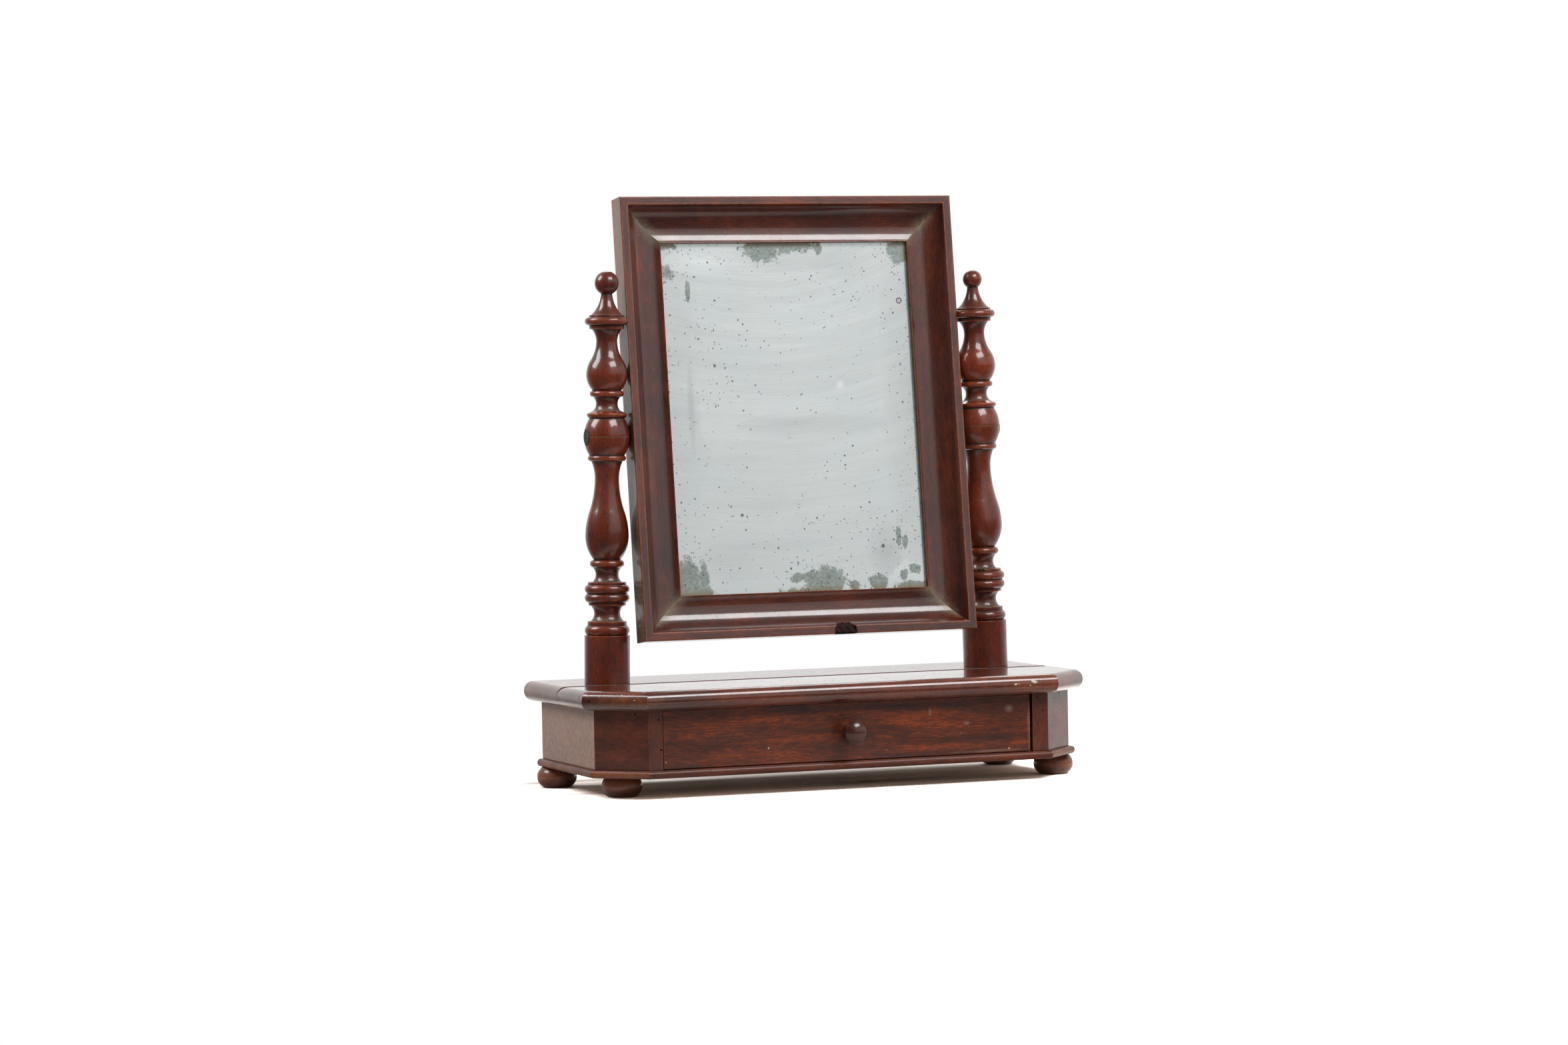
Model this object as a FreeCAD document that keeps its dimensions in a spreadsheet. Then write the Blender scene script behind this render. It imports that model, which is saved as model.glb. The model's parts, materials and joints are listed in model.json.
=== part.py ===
import FreeCAD, Part
import Sketcher
import os
import re

# A table mirror on a box base. The box has canted front corners, one drawer and four bun feet.
# Two turned columns stand on its top and carry a coved mirror frame, which tilts on two screws.
# Millimetres. +X is the viewer's right, -Y the front, +Z up. The origin is on the ground at the
# middle of the whole object's box, so the drawer's knob counts in its depth.

doc = FreeCAD.newDocument("VanityMirror")
sheet = doc.addObject("Spreadsheet::Sheet", "Sizes")

sizes = {
    # box
    "carcaseWidth": 524,
    "carcaseDepth": 208.6,
    "carcaseHeight": 60,
    "cantSize": 43,
    "panelThickness": 12,
    "backThickness": 9,
    "stileWidthLeft": 15.1,
    "stileWidthRight": 17.3,
    "bottomThickness": 8.2,
    "blockSize": 14,
    "blockSetback": 70,
    # top
    "topThickness": 20,
    "topOverhang": 14.6,
    "topRearOverhang": 13,
    "topNoseShare": 0.49,
    "frontBoardDepth": 130,
    "boardJointGap": 0.9,
    # nosed strip round the bottom board
    "stripWidth": 10,
    "stripProjection": 6,
    "stripNoseShare": 0.49,
    # bun feet
    "footHeight": 21.5,
    "footRadius": 20.7,
    "footGroundRadius": 13,
    "footSeatRadius": 15,
    "footFrontSetback": 57.5,
    "footRearSetback": 10,
    "footInsetFrontLeft": 33.7,
    "footInsetFrontRight": 11.5,
    "footInsetRear": 12,
    "pegRadius": 5,
    "pegCover": 1.2,
    "pegClearance": 0.1,
    # drawer
    "drawerGapLeft": 0.5,
    "drawerGapRight": 3.0,
    "drawerGapTop": 0.7,
    "drawerGapBottom": 0.9,
    "drawerFrontThickness": 15,
    "drawerSideThickness": 8,
    "drawerSideDrop": 3,
    "drawerBackThickness": 8,
    "drawerBottomThickness": 5,
    "drawerBottomRise": 6,
    "drawerGrooveDepth": 3.5,
    "drawerLength": 186,
    "drawerLapDepth": 10,
    "dovetailMargin": 4.5,
    "dovetailFlare": 1.6,
    "runningClearance": 0.4,
    "guideWidth": 12,
    "guideHeight": 14,
    "guideSetback": 6,
    "stopWidth": 26,
    "stopSpacing": 240,
    # drawer knob
    "knobProjection": 25,
    "knobRadius": 12.4,
    "knobRimHeight": 18.5,
    "knobRimThickness": 2.4,
    "knobNeckRadius": 5.6,
    "knobNeckHeight": 6,
    "knobBaseRadius": 8,
    "knobBaseHeight": 2,
    "knobTenonRadius": 4.5,
    "knobTenonLength": 12,
    # columns: where they stand
    "columnStandoff": 27.7,
    "columnSetback": 142,
    "columnLean": 1.1,
    "columnStretchLeft": 0,
    "columnStretchRight": 2.4,
    "tenonRadius": 8,
    "tenonCover": 3,
    # columns: heights of the turned members, from the top board up
    "drumHeight": 49.3,
    "baseBeadHeight": 10,
    "baseFilletHeight": 4.4,
    "lowerHollowHeight": 16.2,
    "waistFilletHeight": 3.4,
    "twinBeadHeight": 8.9,
    "upperFilletHeight": 2.9,
    "upperHollowHeight": 15.2,
    "vaseRingHeight": 7.6,
    "vaseBellyRise": 23.5,
    "vaseShoulderRise": 27.7,
    "vaseNeckDrop": 17.5,
    "bulbRingHeight": 5.6,
    "bulbHeight": 38.4,
    "crownRingHeight": 4.7,
    "crownSlopeHeight": 3,
    "crownHollowHeight": 14.2,
    "pearRingHeight": 6.4,
    "pearBellyRise": 16.2,
    "pearShoulderRise": 15,
    "pearNeckRise": 19.5,
    "collarFlareHeight": 12.4,
    "collarFilletHeight": 4,
    "collarBeadHeight": 8,
    "capFilletHeight": 2.2,
    "finialFlareHeight": 22,
    # columns: radii of the turned members
    "drumRadius": 23.4,
    "beadRootRadius": 20.3,
    "baseBeadRadius": 23.1,
    "baseFilletRadius": 20.2,
    "lowerHollowRadius": 13.4,
    "lowerHollowEndRadius": 17.2,
    "waistFilletRadius": 19.2,
    "twinBeadRadius": 23.1,
    "upperFilletRadius": 19.8,
    "upperHollowRadius": 11.8,
    "upperHollowEndRadius": 15,
    "vaseRingRadius": 17.7,
    "vaseFootRadius": 13.7,
    "vaseBellyRadius": 22.4,
    "vaseShoulderRadius": 17.6,
    "vaseNeckRadius": 12.5,
    "vaseNeckEndRadius": 16.2,
    "bulbRingRadius": 19.7,
    "bulbEndRadius": 18,
    "bulbRadius": 23.6,
    "crownRingRadius": 20.5,
    "crownHollowEndRadius": 14,
    "crownHollowRadius": 11.1,
    "pearRingRadius": 17.6,
    "pearFootRadius": 14.6,
    "pearBellyRadius": 21.2,
    "pearShoulderRadius": 16.7,
    "pearNeckRadius": 10.7,
    "collarFlareRadius": 15.5,
    "collarFilletRadius": 18,
    "collarBeadRadius": 22.6,
    "finialFlareRadius": 16.5,
    "finialNeckRadius": 5.8,
    "ballRadiusLeft": 12.4,
    "ballRadiusRight": 10,
    # mirror frame
    "frameWidth": 369.6,
    "frameHeight": 459.4,
    "frameAbovePivot": 246.3,
    "frameThickness": 27,
    "frameAheadOfPivot": 17.9,
    "frameLean": 6.65,
    "frameClearance": 0.4,
    "railWidth": 46.5,
    "rimWidth": 8.4,
    "coveDepth": 17,
    "coveSetIn": 33,
    "sightDepth": 14,
    "rabbetWidth": 8,
    "rabbetDepth": 7.5,
    "glassThickness": 2.6,
    "glassClearance": 1.0,
    "backboardThickness": 4.2,
    # pivots
    "pivotHeight": 253,
    "pivotRadius": 3.0,
    "pivotClearance": 0.06,
    "pivotGrip": 12,
    "pivotTipLength": 5,
    "pivotTipRadius": 0.8,
    "pivotHeadRadius": 8,
    "pivotHeadThickness": 2.6,
    "pivotHeadRecess": 0.9,
    "pivotHeadClearance": 0.3,
    "slotWidth": 1.3,
    "slotDepth": 1.2,
}

for row, (name, value) in enumerate(sizes.items(), start=1):
    sheet.set("A%d" % row, name)
    sheet.set("B%d" % row, str(value))
    sheet.setAlias("B%d" % row, name)
doc.recompute()

sizeWord = re.compile(r"\b(%s)\b" % "|".join(sizes))


def bound(formula):
    # a formula in the sizes' own names, as the sheet wants it
    return sizeWord.sub(r"Sizes.\1", formula)


def number(formula):
    return float(sheet.evalExpression(bound(formula)))


# Places that many pieces share, as formulas of the sizes.
side = "(carcaseWidth / 2)"
front = "(knobProjection - (knobProjection + carcaseDepth + topRearOverhang) / 2)"
back = "(%s + carcaseDepth)" % front
floorTop = "(footHeight + bottomThickness)"
topUnder = "(%s + carcaseHeight)" % floorTop
topFace = "(%s + topThickness)" % topUnder
boardJoint = "(%s - topOverhang + frontBoardDepth)" % front
columnPlace = "(%s + columnSetback)" % front
columnOut = "(frameWidth / 2 + columnStandoff)"
tenonLength = "(topThickness - tenonCover)"
pegLength = "(bottomThickness - pegCover)"
pivotLevel = "(%s + pivotHeight)" % topFace
openingLeft = "(-%s + cantSize + stileWidthLeft)" % side
openingRight = "(%s - cantSize - stileWidthRight)" % side
drawerLeft = "(%s + drawerGapLeft)" % openingLeft
drawerRight = "(%s - drawerGapRight)" % openingRight
drawerMiddle = "((%s + %s) / 2)" % (drawerLeft, drawerRight)
runnerLevel = "(%s + runningClearance)" % floorTop
# how far a 45 degree corner moves along its sides when the outline grows by 1
cornerShift = "(sqrt(2) - 1)"


def corner(which, grow, hand=-1):
    # a corner of the carcase outline grown outwards by a formula; hand is -1 on the left, 1 right
    if which == "side":
        return ("%d * (%s + %s)" % (hand, side, grow),
                "%s + cantSize - %s * %s" % (front, cornerShift, grow))
    return ("%d * (%s - cantSize + %s * %s)" % (hand, side, cornerShift, grow),
            "%s - %s" % (front, grow))


def originPlane(body, role):
    return [part for part in body.Origin.OriginFeatures if part.Role == role][0]


def newBody(name, x="0", y="0", z="0"):
    body = doc.addObject("PartDesign::Body", name)
    body.Label = name
    body.setExpression("Placement.Base.x", bound(x))
    body.setExpression("Placement.Base.y", bound(y))
    body.setExpression("Placement.Base.z", bound(z))
    return body


def newSketch(body, plane, offset=None, turn=None):
    sketch = body.newObject("Sketcher::SketchObject", body.Name + "Sketch")
    sketch.AttachmentSupport = (originPlane(body, plane), [""])
    sketch.MapMode = "FlatFace"
    if offset:
        sketch.setExpression("AttachmentOffset.Base.z", bound(offset))
    if turn:
        sketch.setExpression("AttachmentOffset.Rotation.Angle", bound(turn))
    return sketch


def pin(sketch, places):
    # holds points of the sketch, each given as (shape, end, x, y), at two formulas
    formulas = []
    limits = []
    for shape, end, x, y in places:
        for kind, formula in (("DistanceX", x), ("DistanceY", y)):
            limits.append(Sketcher.Constraint(kind, -1, 1, shape, end, number(formula)))
            formulas.append(formula)
    first = sketch.ConstraintCount
    sketch.addConstraint(limits)
    for index, formula in enumerate(formulas, start=first):
        sketch.setExpression("Constraints[%d]" % index, bound(formula))


def outline(sketch, points):
    # a closed outline: each entry is (x, y) or (x, y, x through, y through), and the last two say
    # that an arc through that point leads to this entry from the one before it
    spots = [FreeCAD.Vector(number(p[0]), number(p[1]), 0) for p in points]
    shapes = []
    ends = []
    for index, point in enumerate(points):
        start = spots[index - 1]
        if len(point) == 4:
            middle = FreeCAD.Vector(number(point[2]), number(point[3]), 0)
            shapes.append(Part.Arc(start, middle, spots[index]))
            # a sketch keeps every arc anticlockwise, so a clockwise one starts at its far end
            turn = (middle - start).cross(spots[index] - middle).z
            ends.append((1, 2) if turn > 0 else (2, 1))
        else:
            shapes.append(Part.LineSegment(start, spots[index]))
            ends.append((1, 2))
    sketch.addGeometry(shapes, False)
    joins = []
    for index in range(len(points)):
        before = (index - 1) % len(points)
        joins.append(Sketcher.Constraint("Coincident", before, ends[before][1], index, ends[index][0]))
    sketch.addConstraint(joins)
    places = [(index, ends[index][1], point[0], point[1]) for index, point in enumerate(points)]
    for index, point in enumerate(points):
        if len(point) == 4:
            middle = FreeCAD.Vector(number(point[2]), number(point[3]), 0)
            mark = sketch.addGeometry(Part.Point(middle), True)
            sketch.addConstraint(Sketcher.Constraint("PointOnObject", mark, 1, index))
            places.append((mark, 1, point[2], point[3]))
    pin(sketch, places)
    return sketch


def circle(sketch, x, y, radius):
    ring = Part.Circle(FreeCAD.Vector(number(x), number(y), 0), FreeCAD.Vector(0, 0, 1), number(radius))
    edge = sketch.addGeometry(ring, False)
    pin(sketch, [(edge, 3, x, y)])
    made = sketch.addConstraint(Sketcher.Constraint("Radius", edge, number(radius)))
    sketch.setExpression("Constraints[%d]" % made, bound(radius))
    return sketch


def box(sketch, x0, y0, x1, y1):
    return outline(sketch, [(x0, y0), (x1, y0), (x1, y1), (x0, y1)])


def pad(body, sketch, length, middle=False):
    feature = body.newObject("PartDesign::Pad", body.Name + "Pad")
    feature.Profile = sketch
    feature.Midplane = middle
    feature.setExpression("Length", bound(length))
    doc.recompute()
    return feature


def pocket(body, sketch, length, middle=False, reverse=False):
    before = body.Shape.Volume
    feature = body.newObject("PartDesign::Pocket", body.Name + "Pocket")
    feature.Profile = sketch
    feature.Midplane = middle
    feature.Reversed = reverse
    feature.setExpression("Length", bound(length))
    doc.recompute()
    if body.Shape.Volume > before - 1e-3:
        raise ValueError("a pocket of %s cuts nothing" % body.Name)
    return feature


def revolve(body, sketch, axis="V_Axis"):
    feature = body.newObject("PartDesign::Revolution", body.Name + "Turning")
    feature.Profile = sketch
    feature.ReferenceAxis = (sketch, [axis])
    feature.Angle = 360
    doc.recompute()
    return feature


def groove(body, sketch, axis="V_Axis"):
    before = body.Shape.Volume
    feature = body.newObject("PartDesign::Groove", body.Name + "Groove")
    feature.Profile = sketch
    feature.ReferenceAxis = (sketch, [axis])
    feature.Angle = 360
    doc.recompute()
    if body.Shape.Volume > before - 1e-3:
        raise ValueError("a groove of %s cuts nothing" % body.Name)
    return feature


def roundEdges(body, base, radius, wanted):
    # rounds the edges whose middle point the test picks
    names = []
    for index, edge in enumerate(base.Shape.Edges, start=1):
        middle = edge.valueAt((edge.FirstParameter + edge.LastParameter) / 2)
        if wanted(middle, edge):
            names.append("Edge%d" % index)
    fillet = body.newObject("PartDesign::Fillet", body.Name + "Fillet")
    fillet.Base = (base, names)
    fillet.setExpression("Radius", bound(radius))
    doc.recompute()
    return fillet


def isLevel(edge):
    return abs(edge.tangentAt(edge.FirstParameter).z) < 0.5


# Carcase: panels that stand on the bottom board, mitred round the canted corners.

def standingPanel(name, points):
    body = newBody(name, z=floorTop)
    pad(body, outline(newSketch(body, "XY_Plane"), points), "carcaseHeight")
    return body


def sidePanel(name, hand):
    inner = "%d * (%s - panelThickness)" % (hand, side)
    standingPanel(name, [
        corner("side", "0", hand),
        ("%d * %s" % (hand, side), back),
        (inner, back),
        corner("side", "(-panelThickness)", hand),
    ])


def cornerPanel(name, hand):
    standingPanel(name, [
        corner("side", "0", hand),
        corner("front", "0", hand),
        corner("front", "(-panelThickness)", hand),
        corner("side", "(-panelThickness)", hand),
    ])


def frontStile(name, hand, openingEdge):
    standingPanel(name, [
        corner("front", "0", hand),
        (openingEdge, front),
        (openingEdge, "%s + panelThickness" % front),
        corner("front", "(-panelThickness)", hand),
    ])


def backPanel():
    body = newBody("back_panel", z=floorTop)
    inner = "(%s - panelThickness)" % side
    sketch = newSketch(body, "XY_Plane")
    box(sketch, "-%s" % inner, "%s - backThickness" % back, inner, back)
    pad(body, sketch, "carcaseHeight")


def bottomBoard():
    body = newBody("bottom_board", z="footHeight")
    shrink = "(stripProjection - stripWidth)"
    left = [corner("side", shrink, -1), corner("front", shrink, -1)]
    right = [corner("front", shrink, 1), corner("side", shrink, 1)]
    rear = [(right[1][0], back), (left[0][0], back)]
    pad(body, outline(newSketch(body, "XY_Plane"), left + right + rear), "bottomThickness")
    holes = newSketch(body, "XY_Plane")
    for x, y in footPlaces.values():
        circle(holes, x, y, "pegRadius + pegClearance")
    pocket(body, holes, pegLength + " + pegClearance", reverse=True)


def topBoard(name, rear):
    # one of the two boards of the top, with its full bullnose on every outer edge but the rear
    body = newBody(name, z=topUnder)
    joint = "(%s %s boardJointGap / 2)" % (boardJoint, "+" if rear else "-")
    ends = "(%s + topOverhang)" % side
    if rear:
        rearEdge = "%s + topRearOverhang" % back
        points = [("-" + ends, joint), (ends, joint), (ends, rearEdge), ("-" + ends, rearEdge)]
    else:
        points = [
            ("-" + ends, joint),
            corner("side", "topOverhang", -1),
            corner("front", "topOverhang", -1),
            corner("front", "topOverhang", 1),
            corner("side", "topOverhang", 1),
            (ends, joint),
        ]
    slab = pad(body, outline(newSketch(body, "XY_Plane"), points), "topThickness")
    flat = [number(joint)]
    if rear:
        flat.append(number(rearEdge))
    roundEdges(body, slab, "topThickness * topNoseShare", lambda middle, edge:
               isLevel(edge) and min(abs(middle.y - line) for line in flat) > 0.01)
    if rear:
        for hand in (-1, 1):
            mortise = newSketch(body, "XZ_Plane", offset="-" + columnPlace)
            mortise.setExpression("AttachmentOffset.Base.x", bound("%d * %s" % (hand, columnOut)))
            mortise.setExpression("AttachmentOffset.Base.y", bound("topThickness"))
            mortise.setExpression("AttachmentOffset.Rotation.Angle", bound("%d * columnLean" % hand))
            box(mortise, "0", "-%s - pegClearance" % tenonLength, "tenonRadius + pegClearance", "tenonRadius")
            groove(body, mortise)


# The nosed strip: five lengths, mitred where they meet, rounded on their outer edge.

def stripLength(name, outer, inner):
    body = newBody(name, z="footHeight")
    strip = pad(body, outline(newSketch(body, "XY_Plane"), outer + inner[::-1]), "bottomThickness")
    start = FreeCAD.Vector(number(outer[0][0]), number(outer[0][1]), 0)
    end = FreeCAD.Vector(number(outer[1][0]), number(outer[1][1]), 0)
    middle = (start + end) / 2
    roundEdges(body, strip, "bottomThickness * stripNoseShare", lambda spot, edge:
               isLevel(edge) and FreeCAD.Vector(spot.x, spot.y, 0).distanceToPoint(middle) < 0.01)


def plinthStrip():
    grow = "stripProjection"
    shrink = "(stripProjection - stripWidth)"
    stripLength("plinth_moulding_front",
                [corner("front", grow, -1), corner("front", grow, 1)],
                [corner("front", shrink, -1), corner("front", shrink, 1)])
    for word, hand in (("left", -1), ("right", 1)):
        stripLength("plinth_moulding_corner_" + word,
                    [corner("side", grow, hand), corner("front", grow, hand)],
                    [corner("side", shrink, hand), corner("front", shrink, hand)])
        outerX = corner("side", grow, hand)[0]
        innerX = corner("side", shrink, hand)[0]
        stripLength("plinth_moulding_side_" + word,
                    [(outerX, back), corner("side", grow, hand)],
                    [(innerX, back), corner("side", shrink, hand)])


# Turned work.

footPlaces = {
    "foot_front_left": ("-%s + footInsetFrontLeft" % side, "%s + footFrontSetback" % front),
    "foot_front_right": ("%s - footInsetFrontRight" % side, "%s + footFrontSetback" % front),
    "foot_rear_left": ("-%s + footInsetRear" % side, "%s - footRearSetback" % back),
    "foot_rear_right": ("%s - footInsetRear" % side, "%s - footRearSetback" % back),
}


def bunFoot(name, x, y):
    body = newBody(name, x, y)
    revolve(body, outline(newSketch(body, "XZ_Plane"), [
        ("0", "0"),
        ("footGroundRadius", "0"),
        ("footSeatRadius", "footHeight", "footRadius", "footHeight * 0.5"),
        ("pegRadius", "footHeight"),
        ("pegRadius", "footHeight + " + pegLength),
        ("0", "footHeight + " + pegLength),
    ]))


def columnMembers(ballRadius, stretch):
    # the turned members from the top board up: radius reached, height gained, and for a curve its
    # radius half way up; a curve that ends or starts upright has a quarter of its change left there.
    # The vase's neck takes up what is left below the bulb, and stretch lifts the bulb past the pivot
    def quarter(upright, far):
        return "%s + (%s - %s) / 4" % (upright, far, upright)
    below = ("drumHeight + baseBeadHeight + baseFilletHeight + lowerHollowHeight + waistFilletHeight"
             " + 2 * twinBeadHeight + upperFilletHeight + upperHollowHeight + vaseRingHeight"
             " + vaseBellyRise + vaseShoulderRise + bulbRingHeight + bulbHeight / 2")
    neckRise = "(pivotHeight - (%s) - vaseNeckDrop + %s)" % (below, stretch)
    ballFoot = "(%s - sqrt(%s ^ 2 - finialNeckRadius ^ 2))" % (ballRadius, ballRadius)
    return [
        ("drumRadius", "drumHeight", None),
        ("beadRootRadius", "0", None),
        ("beadRootRadius", "baseBeadHeight", "baseBeadRadius"),
        ("baseFilletRadius", "0", None),
        ("baseFilletRadius", "baseFilletHeight", None),
        ("lowerHollowEndRadius", "0", None),
        ("lowerHollowEndRadius", "lowerHollowHeight", "lowerHollowRadius"),
        ("waistFilletRadius", "0", None),
        ("waistFilletRadius", "waistFilletHeight", None),
        ("beadRootRadius", "0", None),
        ("beadRootRadius", "twinBeadHeight", "twinBeadRadius"),
        ("beadRootRadius", "twinBeadHeight", "twinBeadRadius"),
        ("upperFilletRadius", "0", None),
        ("upperFilletRadius", "upperFilletHeight", None),
        ("upperHollowEndRadius", "0", None),
        ("upperHollowEndRadius", "upperHollowHeight", "upperHollowRadius"),
        ("vaseFootRadius", "vaseRingHeight", "vaseRingRadius"),
        ("vaseBellyRadius", "vaseBellyRise", quarter("vaseBellyRadius", "vaseFootRadius")),
        ("vaseShoulderRadius", "vaseShoulderRise", quarter("vaseBellyRadius", "vaseShoulderRadius")),
        ("vaseNeckRadius", neckRise, quarter("vaseNeckRadius", "vaseShoulderRadius")),
        ("vaseNeckEndRadius", "vaseNeckDrop", quarter("vaseNeckRadius", "vaseNeckEndRadius")),
        ("bulbEndRadius", "bulbRingHeight", "bulbRingRadius"),
        ("bulbEndRadius", "bulbHeight", "bulbRadius"),
        ("crownRingRadius", "crownRingHeight", "crownRingRadius - 0.1"),
        ("crownHollowEndRadius", "crownSlopeHeight", None),
        ("crownHollowEndRadius", "crownHollowHeight", "crownHollowRadius"),
        ("pearFootRadius", "pearRingHeight", "pearRingRadius"),
        ("pearBellyRadius", "pearBellyRise", quarter("pearBellyRadius", "pearFootRadius")),
        ("pearShoulderRadius", "pearShoulderRise", quarter("pearBellyRadius", "pearShoulderRadius")),
        ("pearNeckRadius", "pearNeckRise", quarter("pearNeckRadius", "pearShoulderRadius")),
        ("collarFlareRadius", "collarFlareHeight", quarter("pearNeckRadius", "collarFlareRadius")),
        ("collarFilletRadius", "0", None),
        ("collarFilletRadius", "collarFilletHeight", None),
        ("collarFilletRadius", "collarBeadHeight", "collarBeadRadius"),
        ("collarFilletRadius", "capFilletHeight", None),
        ("finialFlareRadius", "0", None),
        ("finialNeckRadius", "finialFlareHeight", quarter("finialNeckRadius", "finialFlareRadius")),
        ("0", "%s + %s - %s" % (ballRadius, ballRadius, ballFoot), None),
    ]


def turnedColumn(name, hand, ballRadius, stretch):
    body = newBody(name, "%d * %s" % (hand, columnOut), columnPlace, topFace)
    lean = "%d * columnLean" % hand
    members = columnMembers(ballRadius, stretch)
    points = [("0", "-topThickness / 4"), ("drumRadius", "-topThickness / 4")]
    level = "0"
    for radius, rise, through in members[:-1]:
        start = level
        if rise != "0":
            level = "%s + %s" % (level, rise)
        if through:
            points.append((radius, level, through, "%s + (%s) / 2" % (start, rise)))
        else:
            points.append((radius, level))
    # the ball is the last arc, and its widest point is level with its centre
    ballRise = members[-1][1]
    points.append(("0", "%s + %s" % (level, ballRise), ballRadius,
                   "%s + %s - %s" % (level, ballRise, ballRadius)))
    revolve(body, outline(newSketch(body, "XZ_Plane", turn=lean), points))
    # the leaning shaft is cut level where it stands on the top, and the tenon added below
    levelCut = newSketch(body, "XZ_Plane")
    box(levelCut, "-drumRadius * 2", "-topThickness", "drumRadius * 2", "0")
    pocket(body, levelCut, "drumRadius * 4", middle=True)
    tenon = newSketch(body, "XZ_Plane", turn=lean)
    box(tenon, "0", "-" + tenonLength, "tenonRadius", "tenonRadius")
    revolve(body, tenon)
    # bulb and collar are pared flat beside the frame
    flat = "%d * (columnStandoff - frameClearance)" % -hand
    beside = newSketch(body, "XZ_Plane")
    box(beside, flat, "drumHeight", "%s + %d * drumRadius" % (flat, -hand), "pivotHeight * 2")
    pocket(body, beside, "drumRadius * 4", middle=True)
    # bore for the pivot screw, and a flat seat for its head on the outer side
    bore = newSketch(body, "YZ_Plane")
    circle(bore, "0", "pivotHeight", "pivotRadius + pivotClearance")
    pocket(body, bore, "drumRadius * 4", middle=True)
    seat = newSketch(body, "YZ_Plane", offset=headSeat(hand))
    circle(seat, "0", "pivotHeight", "pivotHeadRadius + pivotHeadClearance")
    pocket(body, seat, "drumRadius", reverse=hand > 0)
    return body


def headSeat(hand):
    # where a pivot screw's head bears, across from the column's foot
    return ("%d * (bulbRadius - pivotHeadRecess - pivotHeadThickness - pivotHeight * tan(columnLean))"
            % hand)


def pivotScrew(name, hand):
    # head, shank through the column, and a tapered tip in the frame; along X from the seat inwards
    body = newBody(name, "%d * %s" % (hand, columnOut), columnPlace, pivotLevel)
    seat = headSeat(hand)
    gap = "pivotClearance"
    inner = "%d * (-columnStandoff - pivotGrip)" % hand
    sketch = newSketch(body, "XZ_Plane")
    outline(sketch, [
        ("%s + %d * pivotHeadThickness" % (seat, hand), "0"),
        ("%s + %d * pivotHeadThickness" % (seat, hand), "pivotHeadRadius"),
        ("%s + %d * %s" % (seat, hand, gap), "pivotHeadRadius"),
        ("%s + %d * %s" % (seat, hand, gap), "pivotRadius"),
        (inner, "pivotRadius"),
        ("%s - %d * pivotTipLength" % (inner, hand), "pivotTipRadius"),
        ("%s - %d * pivotTipLength" % (inner, hand), "0"),
    ])
    revolve(body, sketch, "H_Axis")
    slot = newSketch(body, "XZ_Plane")
    face = "%s + %d * pivotHeadThickness" % (seat, hand)
    box(slot, "%s - %d * slotDepth" % (face, hand), "-pivotHeadRadius * 2",
        "%s + %d * slotDepth" % (face, hand), "pivotHeadRadius * 2")
    pocket(body, slot, "slotWidth", middle=True)


# Mirror frame: four mitred lengths of one coved moulding, built upright in front of the pivot
# axis and leaned back about it.

def leanBack(body):
    body.Placement = FreeCAD.Placement(
        body.Placement.Base, FreeCAD.Rotation(FreeCAD.Vector(1, 0, 0), 0))
    body.Placement.Rotation.Axis = FreeCAD.Vector(1, 0, 0)
    body.setExpression("Placement.Rotation.Axis.x", "1")
    body.setExpression("Placement.Rotation.Axis.y", "0")
    body.setExpression("Placement.Rotation.Axis.z", "0")
    body.setExpression("Placement.Rotation.Angle", bound("-frameLean"))


def frameBody(name):
    body = newBody(name, y=columnPlace, z=pivotLevel)
    leanBack(body)
    return body


def mouldingSection(place):
    # rim, cove, sight edge and rabbet; place turns a distance from the outer edge and a depth
    # from the front face into sketch coordinates
    shoulder = "frameThickness - rabbetDepth"
    through = place("coveSetIn", "coveDepth")
    return [
        place("0", "0"),
        place("rimWidth", "0"),
        place("railWidth", "sightDepth") + through,
        place("railWidth", shoulder),
        place("railWidth - rabbetWidth", shoulder),
        place("railWidth - rabbetWidth", "frameThickness"),
        place("0", "frameThickness"),
    ]


def frameRail(name, hand):
    # hand is 1 for the top rail and -1 for the bottom one
    body = frameBody(name)
    edge = "frameAbovePivot" if hand > 0 else "(frameAbovePivot - frameHeight)"
    sketch = newSketch(body, "YZ_Plane")
    outline(sketch, mouldingSection(lambda inward, depth: (
        "%s - frameAheadOfPivot" % depth, "%s - %d * (%s)" % (edge, hand, inward))))
    pad(body, sketch, "frameWidth", middle=True)
    for end in (-1, 1):
        mitre = newSketch(body, "XZ_Plane")
        outline(mitre, [
            ("%d * frameWidth / 2" % end, edge),
            ("%d * (frameWidth / 2 - railWidth)" % end, "%s - %d * railWidth" % (edge, hand)),
            ("%d * frameWidth / 2" % end, "%s - %d * railWidth" % (edge, hand)),
        ])
        pocket(body, mitre, "frameThickness * 4", middle=True)


def frameStile(name, hand):
    # hand is -1 for the left stile and 1 for the right one
    body = frameBody(name)
    sketch = newSketch(body, "XY_Plane", offset="frameAbovePivot - frameHeight")
    outline(sketch, mouldingSection(lambda inward, depth: (
        "%d * (frameWidth / 2 - (%s))" % (hand, inward), "%s - frameAheadOfPivot" % depth)))
    pad(body, sketch, "frameHeight")
    inner = "%d * (frameWidth / 2 - railWidth)" % hand
    for edge, way in (("frameAbovePivot", 1), ("(frameAbovePivot - frameHeight)", -1)):
        mitre = newSketch(body, "XZ_Plane")
        outline(mitre, [
            ("%d * frameWidth / 2" % hand, edge),
            (inner, "%s - %d * railWidth" % (edge, way)),
            (inner, edge),
        ])
        pocket(body, mitre, "frameThickness * 4", middle=True)
    bore = newSketch(body, "YZ_Plane", offset="%d * frameWidth / 2" % hand)
    circle(bore, "0", "0", "pivotRadius + pivotClearance")
    pocket(body, bore, "pivotGrip + pivotTipLength + pivotClearance", reverse=hand < 0)


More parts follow.
